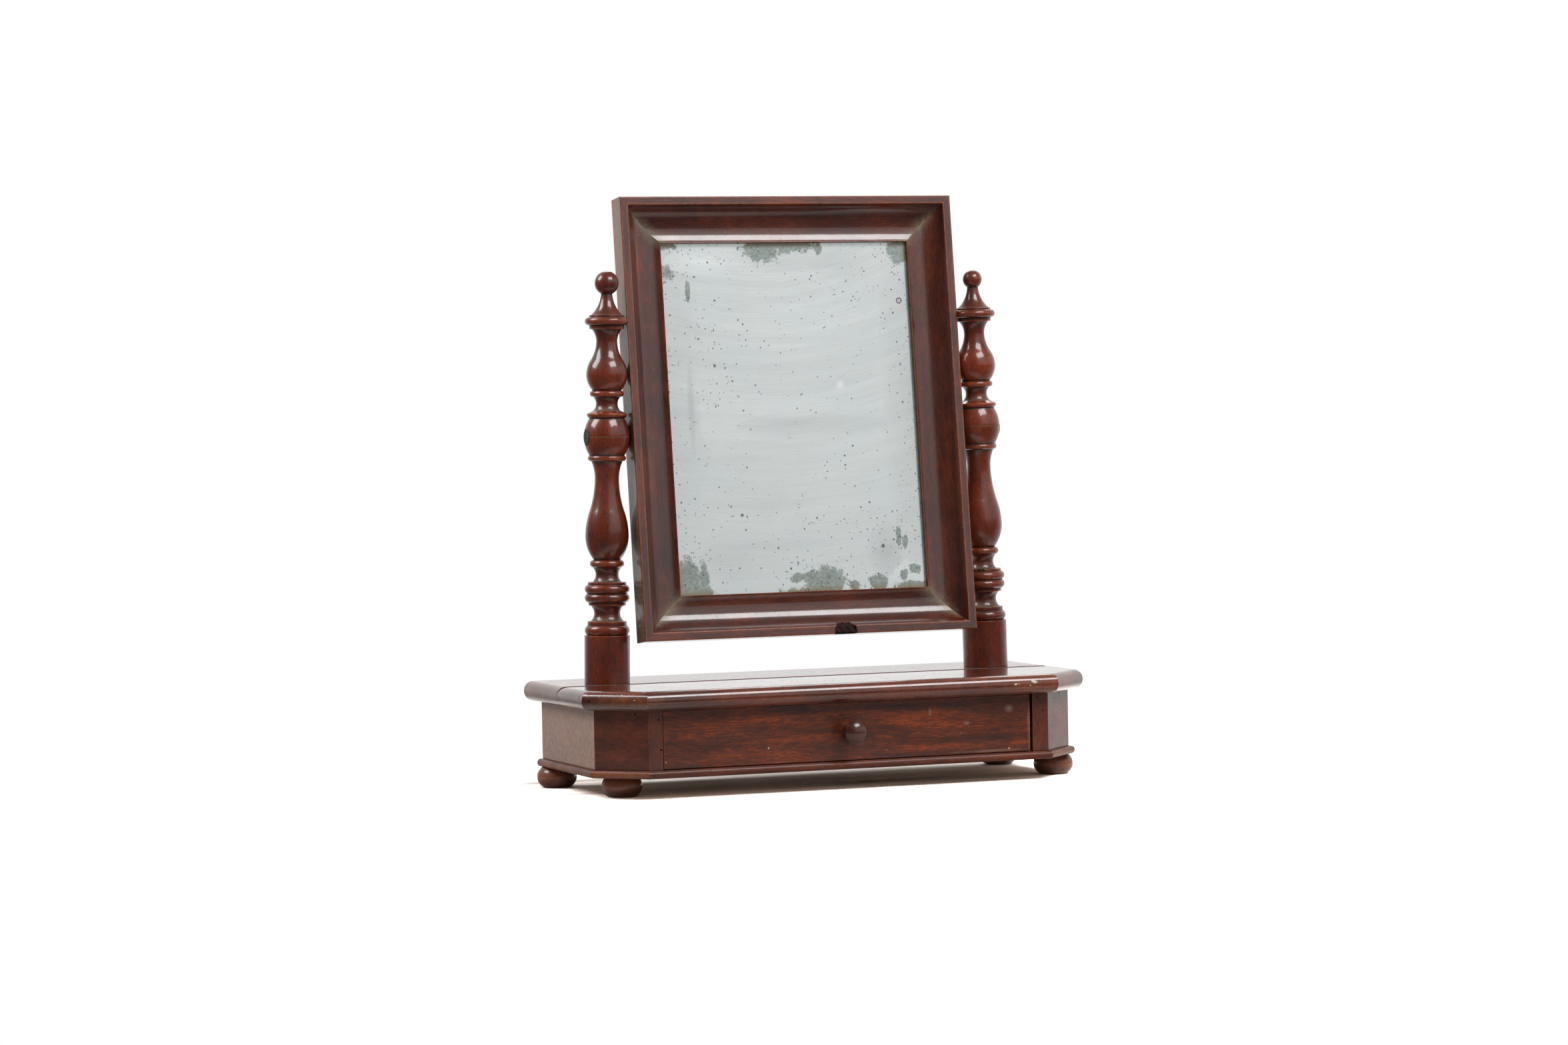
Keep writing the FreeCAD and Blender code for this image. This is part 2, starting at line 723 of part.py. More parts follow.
def framePlate(name, ahead, thickness):
    # glass or backboard: a plate in the rabbet, its front face this far behind the frame's front
    body = frameBody(name)
    halfWidth = "(frameWidth / 2 - railWidth + rabbetWidth - glassClearance)"
    high = "frameAbovePivot - railWidth + rabbetWidth - glassClearance"
    low = "frameAbovePivot - frameHeight + railWidth - rabbetWidth + glassClearance"
    # the plane's own normal points to the front, so the plate is drawn at its back face
    sketch = newSketch(body, "XZ_Plane",
                       offset="frameAheadOfPivot - (%s) - (%s)" % (ahead, thickness))
    box(sketch, "-" + halfWidth, low, halfWidth, high)
    pad(body, sketch, thickness)


# Drawer.

dovetails = 2


def dovetail(tail, low):
    # one tail of a drawer side, seen from the end of the drawer: it spreads towards the front
    pitch = "(%s / %d)" % (drawerSideHeight, dovetails)
    root = "(%s + drawerFrontThickness)" % front
    bottom = "%s + %d * %s + dovetailMargin" % (low, tail, pitch)
    top = "%s + %d * %s - dovetailMargin" % (low, tail + 1, pitch)
    return [
        (root, bottom),
        (drawerSideStart, bottom + " - dovetailFlare"),
        (drawerSideStart, top + " + dovetailFlare"),
        (root, top),
    ]


def drawerFront():
    body = newBody("drawer_front")
    sketch = newSketch(body, "XY_Plane", offset="%s + drawerGapBottom" % floorTop)
    box(sketch, drawerLeft, front, drawerRight, "%s + drawerFrontThickness" % front)
    pad(body, sketch, "carcaseHeight - drawerGapBottom - drawerGapTop")
    # sockets for the sides' dovetails, stopped short of the face, and a groove for the bottom
    for edge, way in ((drawerLeft, 1), (drawerRight, -1)):
        for tail in range(dovetails):
            socket = newSketch(body, "YZ_Plane", offset=edge)
            outline(socket, dovetail(tail, runnerLevel))
            pocket(body, socket, "drawerSideThickness", reverse=way > 0)
    groove = newSketch(body, "XY_Plane", offset="%s + drawerBottomRise" % runnerLevel)
    box(groove, "%s + drawerSideThickness - drawerGrooveDepth" % drawerLeft,
        "%s + drawerFrontThickness - drawerGrooveDepth" % front,
        "%s - drawerSideThickness + drawerGrooveDepth" % drawerRight,
        "%s + drawerFrontThickness" % front)
    pocket(body, groove, "drawerBottomThickness", reverse=True)
    hole = newSketch(body, "XZ_Plane", offset="-" + front)
    circle(hole, drawerMiddle, drawerKnobLevel, "knobTenonRadius + pegClearance")
    pocket(body, hole, "knobTenonLength + pegClearance")


drawerKnobLevel = "(%s + (drawerGapBottom + carcaseHeight - drawerGapTop) / 2)" % floorTop
drawerSideStart = "(%s + drawerFrontThickness - drawerLapDepth)" % front
drawerSideEnd = "(%s + drawerLength)" % front
drawerSideHeight = "(carcaseHeight - runningClearance - drawerSideDrop)"


def drawerSide(name, edge, way):
    # the board stops behind the front, and its dovetails reach into it
    body = newBody(name, z=runnerLevel)
    inner = "%s + %d * drawerSideThickness" % (edge, way)
    sketch = newSketch(body, "XY_Plane")
    box(sketch, edge, "%s + drawerFrontThickness" % front, inner, drawerSideEnd)
    pad(body, sketch, drawerSideHeight)
    for tail in range(dovetails):
        spread = newSketch(body, "YZ_Plane", offset=edge)
        outline(spread, dovetail(tail, "0"))
        feature = pad(body, spread, "drawerSideThickness")
        feature.Reversed = way < 0
    groove = newSketch(body, "XY_Plane", offset="drawerBottomRise")
    box(groove, "%s - %d * drawerGrooveDepth" % (inner, way), drawerSideStart, inner, drawerSideEnd)
    pocket(body, groove, "drawerBottomThickness", reverse=True)


def drawerBottom():
    body = newBody("drawer_bottom", z="%s + drawerBottomRise" % runnerLevel)
    sketch = newSketch(body, "XY_Plane")
    box(sketch, "%s + drawerSideThickness - drawerGrooveDepth" % drawerLeft,
        "%s + drawerFrontThickness - drawerGrooveDepth" % front,
        "%s - drawerSideThickness + drawerGrooveDepth" % drawerRight, drawerSideEnd)
    pad(body, sketch, "drawerBottomThickness")


def drawerBack():
    body = newBody("drawer_back", z="%s + drawerBottomRise + drawerBottomThickness" % runnerLevel)
    sketch = newSketch(body, "XY_Plane")
    box(sketch, "%s + drawerSideThickness" % drawerLeft, "%s - drawerBackThickness" % drawerSideEnd,
        "%s - drawerSideThickness" % drawerRight, drawerSideEnd)
    pad(body, sketch, "%s - drawerBottomRise - drawerBottomThickness" % drawerSideHeight)


def drawerKnob():
    body = newBody("drawer_knob", drawerMiddle, front, drawerKnobLevel)
    # the slightly domed face is part of a ball, so its middle lies on the knob's axis
    rimTop = "(knobRimHeight + knobRimThickness / 2)"
    domeEdge = "(knobRadius - knobRimThickness / 3)"
    domeRise = "(knobProjection - %s)" % rimTop
    domeRadius = "((%s ^ 2 + %s ^ 2) / (2 * %s))" % (domeEdge, domeRise, domeRise)
    # the sketch's first axis runs to the back, so what shows of the knob is on its minus side
    sketch = newSketch(body, "YZ_Plane")
    outline(sketch, [
        ("knobTenonLength", "0"),
        ("knobTenonLength", "knobTenonRadius"),
        ("0", "knobTenonRadius"),
        ("0", "knobBaseRadius"),
        ("-knobBaseHeight", "knobBaseRadius"),
        ("-knobNeckHeight", "knobNeckRadius"),
        ("-knobRimHeight + knobRimThickness", "knobRadius - knobRimThickness / 2",
         "-(knobNeckHeight + knobRimHeight) / 2", "knobNeckRadius + (knobRadius - knobNeckRadius) / 3"),
        ("-%s" % rimTop, domeEdge, "-knobRimHeight + knobRimThickness / 4", "knobRadius"),
        ("-knobProjection", "0",
         "-knobProjection + %s - sqrt(%s ^ 2 - %s ^ 2 / 4)" % (domeRadius, domeRadius, domeEdge),
         "%s / 2" % domeEdge),
    ])
    revolve(body, sketch, "H_Axis")


# Inside the carcase.

def block(name, x0, y0, x1, y1, z, height):
    body = newBody(name, z=z)
    sketch = newSketch(body, "XY_Plane")
    box(sketch, x0, y0, x1, y1)
    pad(body, sketch, height)
    return body


def insidePieces():
    behindStile = "%s + panelThickness + guideSetback" % front
    beforeBack = "%s - backThickness" % back
    block("drawer_guide_left", "%s - guideWidth" % openingLeft, behindStile, openingLeft, beforeBack,
          floorTop, "guideHeight")
    block("drawer_guide_right", openingRight, behindStile, "%s + guideWidth" % openingRight,
          beforeBack, floorTop, "guideHeight")
    for word, hand in (("left", -1), ("right", 1)):
        middle = "(%s + %d * stopSpacing / 2)" % (drawerMiddle, hand)
        block("drawer_stop_" + word, "%s - stopWidth / 2" % middle,
              "%s + runningClearance" % drawerSideEnd, "%s + stopWidth / 2" % middle, beforeBack,
              floorTop, "guideHeight")
        inner = "%d * (%s - panelThickness)" % (hand, side)
        block("glue_block_" + word, inner, "%s + blockSetback" % front,
              "%s - %d * blockSize" % (inner, hand), beforeBack,
              "%s - blockSize" % topUnder, "blockSize")


sidePanel("side_panel_left", -1)
sidePanel("side_panel_right", 1)
cornerPanel("corner_panel_left", -1)
cornerPanel("corner_panel_right", 1)
frontStile("front_stile_left", -1, openingLeft)
frontStile("front_stile_right", 1, openingRight)
backPanel()
bottomBoard()
topBoard("top_board_front", rear=False)
topBoard("top_board_rear", rear=True)
plinthStrip()
for footName, (footX, footY) in footPlaces.items():
    bunFoot(footName, footX, footY)
turnedColumn("column_left", -1, "ballRadiusLeft", "columnStretchLeft")
turnedColumn("column_right", 1, "ballRadiusRight", "columnStretchRight")
pivotScrew("pivot_screw_left", -1)
pivotScrew("pivot_screw_right", 1)
frameRail("frame_rail_top", 1)
frameRail("frame_rail_bottom", -1)
frameStile("frame_stile_left", -1)
frameStile("frame_stile_right", 1)
framePlate("mirror_glass", "frameThickness - rabbetDepth", "glassThickness")
framePlate("mirror_backboard", "frameThickness - rabbetDepth + glassThickness", "backboardThickness")
drawerFront()
drawerSide("drawer_side_left", drawerLeft, 1)
drawerSide("drawer_side_right", drawerRight, -1)
drawerBottom()
drawerBack()
drawerKnob()
insidePieces()

doc.recompute()
for item in doc.Objects:
    if "Invalid" in item.State or "Error" in item.State:
        raise ValueError("%s failed: %s" % (item.Name, item.State))
pieces = [item for item in doc.Objects if item.TypeId == "PartDesign::Body"]
pieces += [item for item in doc.Objects if item.TypeId == "Part::Feature"]
for piece in pieces:
    if piece.Shape.isNull() or not piece.Shape.isValid() or not piece.Shape.Solids:
        raise ValueError("%s has no good shape" % piece.Label)
os.makedirs("parts", exist_ok=True)
for piece in pieces:
    piece.Shape.exportStep("parts/%s.step" % piece.Label)
print("%d pieces" % len(pieces))
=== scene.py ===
import json
import math
from functools import partial
import bmesh
import bpy
import numpy as np
from mathutils import Matrix, Vector, kdtree

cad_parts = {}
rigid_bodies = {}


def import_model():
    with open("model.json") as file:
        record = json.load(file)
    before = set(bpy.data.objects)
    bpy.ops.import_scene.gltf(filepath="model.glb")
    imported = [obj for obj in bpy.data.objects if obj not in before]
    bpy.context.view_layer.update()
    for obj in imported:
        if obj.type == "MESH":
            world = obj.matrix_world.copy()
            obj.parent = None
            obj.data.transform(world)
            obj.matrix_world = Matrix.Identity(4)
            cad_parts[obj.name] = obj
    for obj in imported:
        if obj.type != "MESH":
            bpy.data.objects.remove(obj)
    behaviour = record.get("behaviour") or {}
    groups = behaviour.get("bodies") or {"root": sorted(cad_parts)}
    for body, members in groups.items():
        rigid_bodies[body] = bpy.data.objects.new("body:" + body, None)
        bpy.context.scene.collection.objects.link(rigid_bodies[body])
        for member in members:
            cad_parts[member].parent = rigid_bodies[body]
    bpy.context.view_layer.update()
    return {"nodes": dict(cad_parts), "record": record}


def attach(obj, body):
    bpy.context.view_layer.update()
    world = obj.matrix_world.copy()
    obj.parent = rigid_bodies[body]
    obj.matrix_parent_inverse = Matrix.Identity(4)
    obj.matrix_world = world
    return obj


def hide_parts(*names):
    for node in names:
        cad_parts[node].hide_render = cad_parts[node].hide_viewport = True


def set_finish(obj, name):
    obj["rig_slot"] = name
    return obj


# A mahogany table mirror on a box base. Metres, +X right, -Y front, +Z up.
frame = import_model()
nodes = frame["nodes"]
mm = 0.001
scene = bpy.context.scene
bodyOf = {node: body for body, members in frame["record"]["behaviour"]["bodies"].items()
          for node in members}
slotOf = {part["node"]: part["material_slot"] for part in frame["record"]["subparts"]}
random = np.random.default_rng(1870)  # one order of draws, so that every run is the same
print("frame loaded:", len(nodes), "nodes")


def read(items, key, width=1, kind=float):
    # a value or a row of values for every vertex, edge, corner or face of a mesh
    values = np.empty(len(items) * width, kind)
    items.foreach_get(key, values)
    return values.reshape(-1, width) if width > 1 else values


def finishMesh(mesh, smoothAngle):
    # a closed mesh has a positive signed volume when its faces point outwards
    mesh.validate()
    mesh.calc_loop_triangles()
    corners = read(mesh.loop_triangles, "vertices", 3, np.int32)
    a, b, c = read(mesh.vertices, "co", 3)[corners].transpose(1, 0, 2)
    if np.einsum("ij,ij->i", a, np.cross(b, c)).sum() < 0:
        mesh.flip_normals()
    mesh.shade_smooth()
    mesh.set_sharp_from_angle(angle=math.radians(smoothAngle))
    # a broad flat face keeps its own normals beside one of less than an eighth of its area
    perLoop = np.repeat(read(mesh.polygons, "area"), read(mesh.polygons, "loop_total", 1, np.int32))
    loopEdges = read(mesh.loops, "edge_index", 1, np.int32)
    largest = np.zeros(len(mesh.edges))
    smallest = np.full(len(mesh.edges), np.inf)
    np.maximum.at(largest, loopEdges, perLoop)
    np.minimum.at(smallest, loopEdges, perLoop)
    sharp = read(mesh.edges, "use_edge_sharp", 1, bool)
    mesh.edges.foreach_set("use_edge_sharp", sharp | (largest > smallest * 8))


def setMarks(mesh, marks):
    # values at every point that the finishes read, one number or three
    for mark, values in marks.items():
        values = np.asarray(values, np.float32)
        wide = values.ndim == 2
        layer = mesh.attributes.new(mark, "FLOAT_VECTOR" if wide else "FLOAT", "POINT")
        layer.data.foreach_set("vector" if wide else "value", values.ravel())


def meshOf(name, points, faces, smoothAngle, marks):
    mesh = bpy.data.meshes.new(name)
    mesh.from_pydata(np.asarray(points).tolist(), [], [tuple(face) for face in faces])
    setMarks(mesh, marks)
    finishMesh(mesh, smoothAngle)
    return mesh


def putIn(name, data):
    # a mesh, lamp or camera as an object of the scene
    thing = bpy.data.objects.new(name, data)
    scene.collection.objects.link(thing)
    return thing


def standFor(node, mesh):
    # the mesh takes a CAD node's place, body and slot
    piece = putIn(mesh.name, mesh)
    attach(piece, bodyOf[node])
    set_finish(piece, slotOf[node])
    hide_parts(node)
    return piece


def newPiece(name, points, faces, node, marks, smoothAngle=32):
    return standFor(node, meshOf(name, points, faces, smoothAngle, marks))


def woodGrain(points, along, seed):
    # each board's own coordinates in the tree: the first runs along the grain, and the seed takes
    # every board from another place in the wood
    along = np.array(along, float) / np.linalg.norm(along)
    side = np.cross(along, [0.0, 0.0, 1.0] if abs(along[2]) < 0.9 else [0.0, 1.0, 0.0])
    side /= np.linalg.norm(side)
    place = np.stack([points @ along, points @ side, points @ np.cross(along, side)], -1)
    return place + seed * np.array([0.731, 0.293, 0.517])


def gridFaces(rows, columns, closeRows=False, closeColumns=False):
    # quads of a grid of points, row by row; a closed way joins the last line to the first
    r = np.arange(rows if closeRows else rows - 1)
    c = np.arange(columns if closeColumns else columns - 1)
    r, c = np.meshgrid(r, c, indexing="ij")
    r2, c2 = (r + 1) % rows, (c + 1) % columns
    quads = np.stack([r * columns + c, r * columns + c2, r2 * columns + c2, r2 * columns + c], -1)
    return quads.reshape(-1, 4).tolist()


def cappedTube(rows, columns):
    # a section of so many places carried through so many stations, with both ends closed
    ends = [list(range(columns))[::-1], list(range((rows - 1) * columns, rows * columns))]
    return gridFaces(rows, columns, closeColumns=True) + ends


def arc(start, through, end, step):
    # points of the circle arc through three places, without the first one
    (ax, ay), (bx, by), (cx, cy) = start, through, end
    d = 2 * (ax * (by - cy) + bx * (cy - ay) + cx * (ay - by))
    a2, b2, c2 = ax**2 + ay**2, bx**2 + by**2, cx**2 + cy**2
    ux = (a2 * (by - cy) + b2 * (cy - ay) + c2 * (ay - by)) / d
    uy = (a2 * (cx - bx) + b2 * (ax - cx) + c2 * (bx - ax)) / d
    angles = np.arctan2([ay - uy, by - uy, cy - uy], [ax - ux, bx - ux, cx - ux])
    turn = (angles[2] - angles[0]) % (2 * np.pi)
    if (angles[1] - angles[0]) % (2 * np.pi) > turn:
        turn -= 2 * np.pi
    radius = np.hypot(ax - ux, ay - uy)
    count = max(6, int(abs(turn) * radius / step))
    t = angles[0] + turn * np.linspace(0, 1, count + 1)[1:]
    return np.stack([ux + radius * np.cos(t), uy + radius * np.sin(t)], -1)


def softened(points, closed, size):
    # each corner of a profile that turns by more than about 22 degrees gets a rounding of about
    # this size: a curve between two places on its sides, drawn towards the corner
    points = np.asarray(points, float)
    a = np.roll(points, 1, 0) - points
    b = np.roll(points, -1, 0) - points
    la = np.maximum(np.linalg.norm(a, axis=1), 1e-12)
    lb = np.maximum(np.linalg.norm(b, axis=1), 1e-12)
    sharp = (a * b).sum(1) / (la * lb) > -0.93
    if not closed:
        sharp[0] = sharp[-1] = False
    t = np.linspace(0, 1, 5)[:, None]
    result = []
    for index, point in enumerate(points):
        cut = min(size, la[index] * 0.45, lb[index] * 0.45)
        first = point + a[index] / la[index] * cut
        last = point + b[index] / lb[index] * cut
        curve = first * (1 - t)**2 + point * 2 * t * (1 - t) + last * t**2
        result.append(curve if sharp[index] else [point])
    return np.concatenate(result)


def divided(points, closed, step):
    # long straight runs of a profile are divided, so that wear can fade along them
    ring = np.concatenate([points, points[:1]]) if closed else np.asarray(points)
    result = [ring[:1]]
    for start, end in zip(ring[:-1], ring[1:]):
        count = max(1, math.ceil(np.linalg.norm(end - start) / step))
        t = np.linspace(0, 1, count + 1)[1:, None]
        result.append(start * (1 - t) + end * t)
    result = np.concatenate(result)
    return result[:-1] if closed else result


def bulge(points, closed, reach):
    # how far each place of a profile stands proud of the same profile blurred over the reach,
    # and its outward way: arrises and beads come out above 0, creases and hollows below it
    gaps = np.linalg.norm(np.roll(points, -1, 0) - points, axis=1)
    s = np.concatenate([[0], np.cumsum(gaps)[:-1]])
    apart = np.abs(s[:, None] - s[None])
    if closed:
        apart = np.minimum(apart, gaps.sum() - apart)
    else:
        gaps[-1] = gaps[-2]
    share = (gaps + np.roll(gaps, 1)) / 2
    run = np.roll(points, -1, 0) - np.roll(points, 1, 0)
    if not closed:
        share[0] = gaps[0] / 2
        run[0], run[-1] = points[1] - points[0], points[-1] - points[-2]
    weight = np.exp(-(apart / reach) ** 2 / 2) * share[None]
    blurred = weight @ points / weight.sum(1, keepdims=True)
    out = np.stack([run[:, 1], -run[:, 0]], -1)
    out /= np.maximum(np.linalg.norm(out, axis=1, keepdims=True), 1e-12)
    x, y = points.T
    if closed and (x * np.roll(y, -1) - np.roll(x, -1) * y).sum() < 0:
        out = -out
    result = ((points - blurred) * out).sum(1)
    if not closed:
        result[:3] = result[-3:] = 0
    return result, out


# Shared places of the base.
basePlan = {
    "halfWidth": 262 * mm,
    "front": -98.3 * mm,
    "back": 110.3 * mm,
    "cant": 43 * mm,
    "topFace": 109.7 * mm,
    "topUnder": 89.7 * mm,
    "floorTop": 29.7 * mm,
    "floorUnder": 21.5 * mm,
    "columnX": 212.5 * mm,
    "columnY": 43.7 * mm,
    "pivotZ": 362.7 * mm,
}
cornerShift = math.sqrt(2) - 1  # how far a cant's end moves along when the plan grows by one


def corner(which, grow, hand):
    # a corner of the base's plan grown outwards by grow; hand is -1 on the left, 1 on the right
    plan = basePlan
    if which == "side":
        return hand * (plan["halfWidth"] + grow), plan["front"] + plan["cant"] - cornerShift * grow
    if which == "back":
        return hand * (plan["halfWidth"] + grow), plan["back"]
    return hand * (plan["halfWidth"] - plan["cant"] + cornerShift * grow), plan["front"] - grow


# The two boards of the top, nosed with a full round. The front one has cupped and sinks to the
# open joint. Their nosing is grimed on the left, where hands carried it.
topBoards = {
    "overhang": 14.6 * mm,
    "rearEdge": 123.3 * mm,
    "joint": 17.1 * mm,
    "jointGap": 0.9 * mm,
    "sink": 0.9 * mm,
    "sinkWidth": 11 * mm,
    "noseRadius": 9.8 * mm,
    "stationStep": 4 * mm,
    "wear": 0.7,
    "grime": {"amount": 0.55, "from": -0.14, "fade": 0.03, "below": 3 * mm},
    "dust": {"front": 0.12, "rear": 0.42},
}
# The nosed strip round the bottom board. Dust lies on its upper side, close to the panels.
strip = {
    "outer": 6 * mm,
    "inner": -4 * mm,
    "noseRadius": 4.02 * mm,
    "stationStep": 4 * mm,
    "wear": 0.35,
    "dust": 0.7,
    "dustWidth": 2.5 * mm,
    "dustAbove": 28.5 * mm,
}
# Where hands and cloths rub a nosing: a steady share, and lengths along the edge that are
# rubbed more, with their spread in stations and their strength.
handling = {
    "steady": 0.35,
    "lengths": 9,
    "spread": (3, 14),
    "strength": (0.3, 0.8),
}


def nose(reach, low, high, radius, steps=14):
    # from the upper face round to the lower one: how far out, and how high
    out = reach - radius
    t = np.linspace(0, np.pi / 2, steps + 1)
    upper = np.stack([out + radius * np.sin(t), high - radius + radius * np.cos(t)], -1)
    lower = np.stack([out + radius * np.cos(t), low + radius - radius * np.sin(t)], -1)
    return np.concatenate([upper, lower])


def stationsOf(ring, step, closed):
    # ring is corner by profile place by xyz; straight runs between its corners are divided
    parts = []
    for index in range(len(ring) if closed else len(ring) - 1):
        after = (index + 1) % len(ring)
        widest = np.linalg.norm(ring[after] - ring[index], axis=1).max()
        count = max(1, int(widest / step))
        t = np.arange(count)[:, None, None] / count
        parts.append(ring[None, index] * (1 - t) + ring[None, after] * t)
    if not closed:
        parts.append(ring[None, -1])
    return np.concatenate(parts)


def noseWear(rows, out, reach, seed):
    # the further out, the more wear; along the edge it is a steady share and some soft humps
    rub = np.clip((out - (reach * 0.25)) / (reach * 0.75), 0, 1) ** 1.5
    t = np.arange(rows)
    places = np.random.default_rng(seed)
    along = np.full(rows, handling["steady"])
    for _ in range(handling["lengths"]):
        centre, spread = places.uniform(0, rows), places.uniform(*handling["spread"])
        along += places.uniform(*handling["strength"]) * np.exp(-((t - centre) / spread) ** 2)
    return (along[:, None] * rub[None]).ravel()


def topBoard(node, name, rear, seed):
    # the nose carried round the board's outline, each corner moved out by the profile's reach; the
    # joint and the rear edge close the ring as flat faces, and two faces cap it
    plan = topBoards
    under, face = basePlan["topUnder"], basePlan["topFace"]
    profile = nose(plan["overhang"], under, face, plan["noseRadius"])
    y = plan["joint"] + plan["jointGap"] / 2 * (1 if rear else -1)
    ring = []
    for out, z in profile:
        half = basePlan["halfWidth"] + out
        line = [(-half, y), corner("side", out, -1), corner("front", out, -1),
                corner("front", out, 1), corner("side", out, 1), (half, y)]
        if rear:
            line = [(half, y), (half, plan["rearEdge"]), (-half, plan["rearEdge"]), (-half, y)]
        ring.append([(*place, z) for place in line])
    grid = stationsOf(np.array(ring).transpose(1, 0, 2), plan["stationStep"], True)
    rows, columns = grid.shape[:2]
    upper = [row * columns for row in range(rows)]
    caps = [upper, [row + columns - 1 for row in upper][::-1]]
    if not rear:
        # the upper face is split where the fall to the joint starts
        near = plan["stationStep"] / 2 + 0.1 * mm
        side = np.flatnonzero(np.abs(grid[:, 0, 1] - (y - plan["sinkWidth"])) < near)
        left, right = side[0], side[-1]
        start = grid[left, 0, 1]
        share = np.clip((grid[..., 1] - start) / (y - start), 0, 1)
        lift = (grid[..., 2] - under) / (face - under)
        grid[..., 2] -= share * lift * plan["sink"]
        caps = [upper[left:right + 1], caps[1], upper[right:] + upper[:left + 1]]
    points = grid.reshape(-1, 3)
    wear = noseWear(rows, profile[:, 0] - profile[:, 0].min(), plan["noseRadius"], seed)
    dirt = plan["grime"]
    low = (points[:, 2] < face - dirt["below"]) & (points[:, 0] < dirt["from"])
    fade = np.clip((dirt["from"] - points[:, 0]) / dirt["fade"], 0, 1)
    marks = {"grain": woodGrain(points, (1, 0, 0), seed), "wear": wear * plan["wear"],
             "dust": np.full(len(points), plan["dust"]["rear" if rear else "front"]),
             "grime": np.where(low, dirt["amount"] * fade, 0)}
    newPiece(name, points, gridFaces(rows, columns, closeRows=True) + caps, node, marks)


def plinthStrip(node, name, ends, seed):
    # one mitred length of the strip, the nose closed by a flat inner face
    plan, low, high = strip, basePlan["floorUnder"], basePlan["floorTop"]
    profile = np.concatenate([[(plan["inner"], high)],
                              nose(plan["outer"], low, high, plan["noseRadius"]),
                              [(plan["inner"], low)]])
    ring = [[(*corner(which, out, hand), z) for out, z in profile] for which, hand in ends]
    grid = stationsOf(np.array(ring), plan["stationStep"], False)
    rows, columns = grid.shape[:2]
    points = grid.reshape(-1, 3)
    out = np.clip(profile[:, 0] - (plan["outer"] - plan["noseRadius"]), 0, None)
    near = np.clip(1 - np.abs(profile[:, 0]) / plan["dustWidth"], 0, 1)
    dust = near * (profile[:, 1] > plan["dustAbove"]) * plan["dust"]
    marks = {"grain": woodGrain(points, grid[-1, 0] - grid[0, 0], seed),
             "wear": noseWear(rows, out, plan["noseRadius"], seed) * plan["wear"],
             "dust": np.tile(dust, rows)}
    newPiece(name, points, cappedTube(rows, columns), node, marks)


topBoard("top_board_front", "top_front_nosed", False, 3)
topBoard("top_board_rear", "top_rear_nosed", True, 4)
for index, (length, ends) in enumerate({
        "front": (("front", -1), ("front", 1)), "corner_left": (("side", -1), ("front", -1)),
        "corner_right": (("front", 1), ("side", 1)), "side_left": (("back", -1), ("side", -1)),
        "side_right": (("side", 1), ("back", 1))}.items()):
    plinthStrip("plinth_moulding_" + length, "strip_" + length, ends, 5 + index)
print("top and strips made")

# How turned work has aged: over what reach beads and hollows are told apart, from where a bead
# is rubbed and over how much, how deep a hollow is full of dust and darkened by painted shade,
# and from where a crease is painted black as shade and over how much.
turnery = {
    "reach": 2.2 * mm,
    "rubbed": (0.2 * mm, 0.6 * mm),
    "hollow": 0.45 * mm,
    "crease": (0.4 * mm, 0.35 * mm),
}


def turned(node, name, profile, lay, seed, segments, marksAt=None):
    # a profile of radius and height turned about its axis, with one point at each pole;
    # lay puts local points in their place
    radius, height = profile[1:-1].T
    angle = np.arange(segments) * 2 * np.pi / segments
    ring = np.stack([radius[:, None] * np.cos(angle), radius[:, None] * np.sin(angle),
                     np.repeat(height[:, None], segments, 1)], -1).reshape(-1, 3)
    local = np.concatenate([ring, [(0, 0, profile[0, 1]), (0, 0, profile[-1, 1])]])
    rows = len(radius)
    faces = gridFaces(rows, segments, closeColumns=True)
    low, high, last = len(ring), len(ring) + 1, (rows - 1) * segments
    for j in range(segments):
        k = (j + 1) % segments
        faces += [(low, k, j), (high, last + j, last + k)]
    # beads are rubbed; dust settles in hollows, and most where they face up; the hollows are
    # darkened by dirt and by painted shade, and the sharp creases between the beads are painted
    # black as shade
    proud, out = bulge(profile, False, turnery["reach"])
    (fromBead, bead), (fromCrease, crease) = turnery["rubbed"], turnery["crease"]
    wear = np.clip((proud - fromBead) / bead, 0, 1)
    hollow = np.clip(-proud / turnery["hollow"], 0, 1)
    crease = np.clip((-proud - fromCrease) / crease, 0, 1)
    dust = hollow * (0.3 + 0.5 * np.clip(out[:, 1] * 1.6, 0, 1)) * (1 - 0.85 * crease)
    # grime here is dirt and painted shade in the hollows, and chip is painted shade in the creases
    marks = {mark: np.concatenate([np.repeat(values[1:-1], segments), [0, 0]])
             for mark, values in (("wear", wear), ("dust", dust), ("grime", 0.9 * hollow),
                                  ("chip", 0.75 * crease))}
    if marksAt:
        marksAt(local, marks)
    marks["grain"] = woodGrain(local, (0, 0, 1), seed)
    return newPiece(name, lay(local), faces, node, marks, 50)


def memberProfile(members, start, step=0.9 * mm, edge=0.35 * mm):
    # members give the radius reached, the height gained and, for a curve, its radius half way up
    points = [np.array([start])]
    radius, level = start
    for reached, rise, through in members:
        end = (reached * mm, level + rise * mm)
        if through is None:
            points.append(np.array([end]))
        else:
            middle = (through * mm, level + rise * mm / 2)
            points.append(arc((radius, level), middle, end, step))
        radius, level = end
    points = np.concatenate(points)
    keep = np.concatenate([[True], np.linalg.norm(np.diff(points, axis=0), axis=1) > 1e-6])
    return divided(softened(points[keep], False, edge), False, 1.6 * mm)


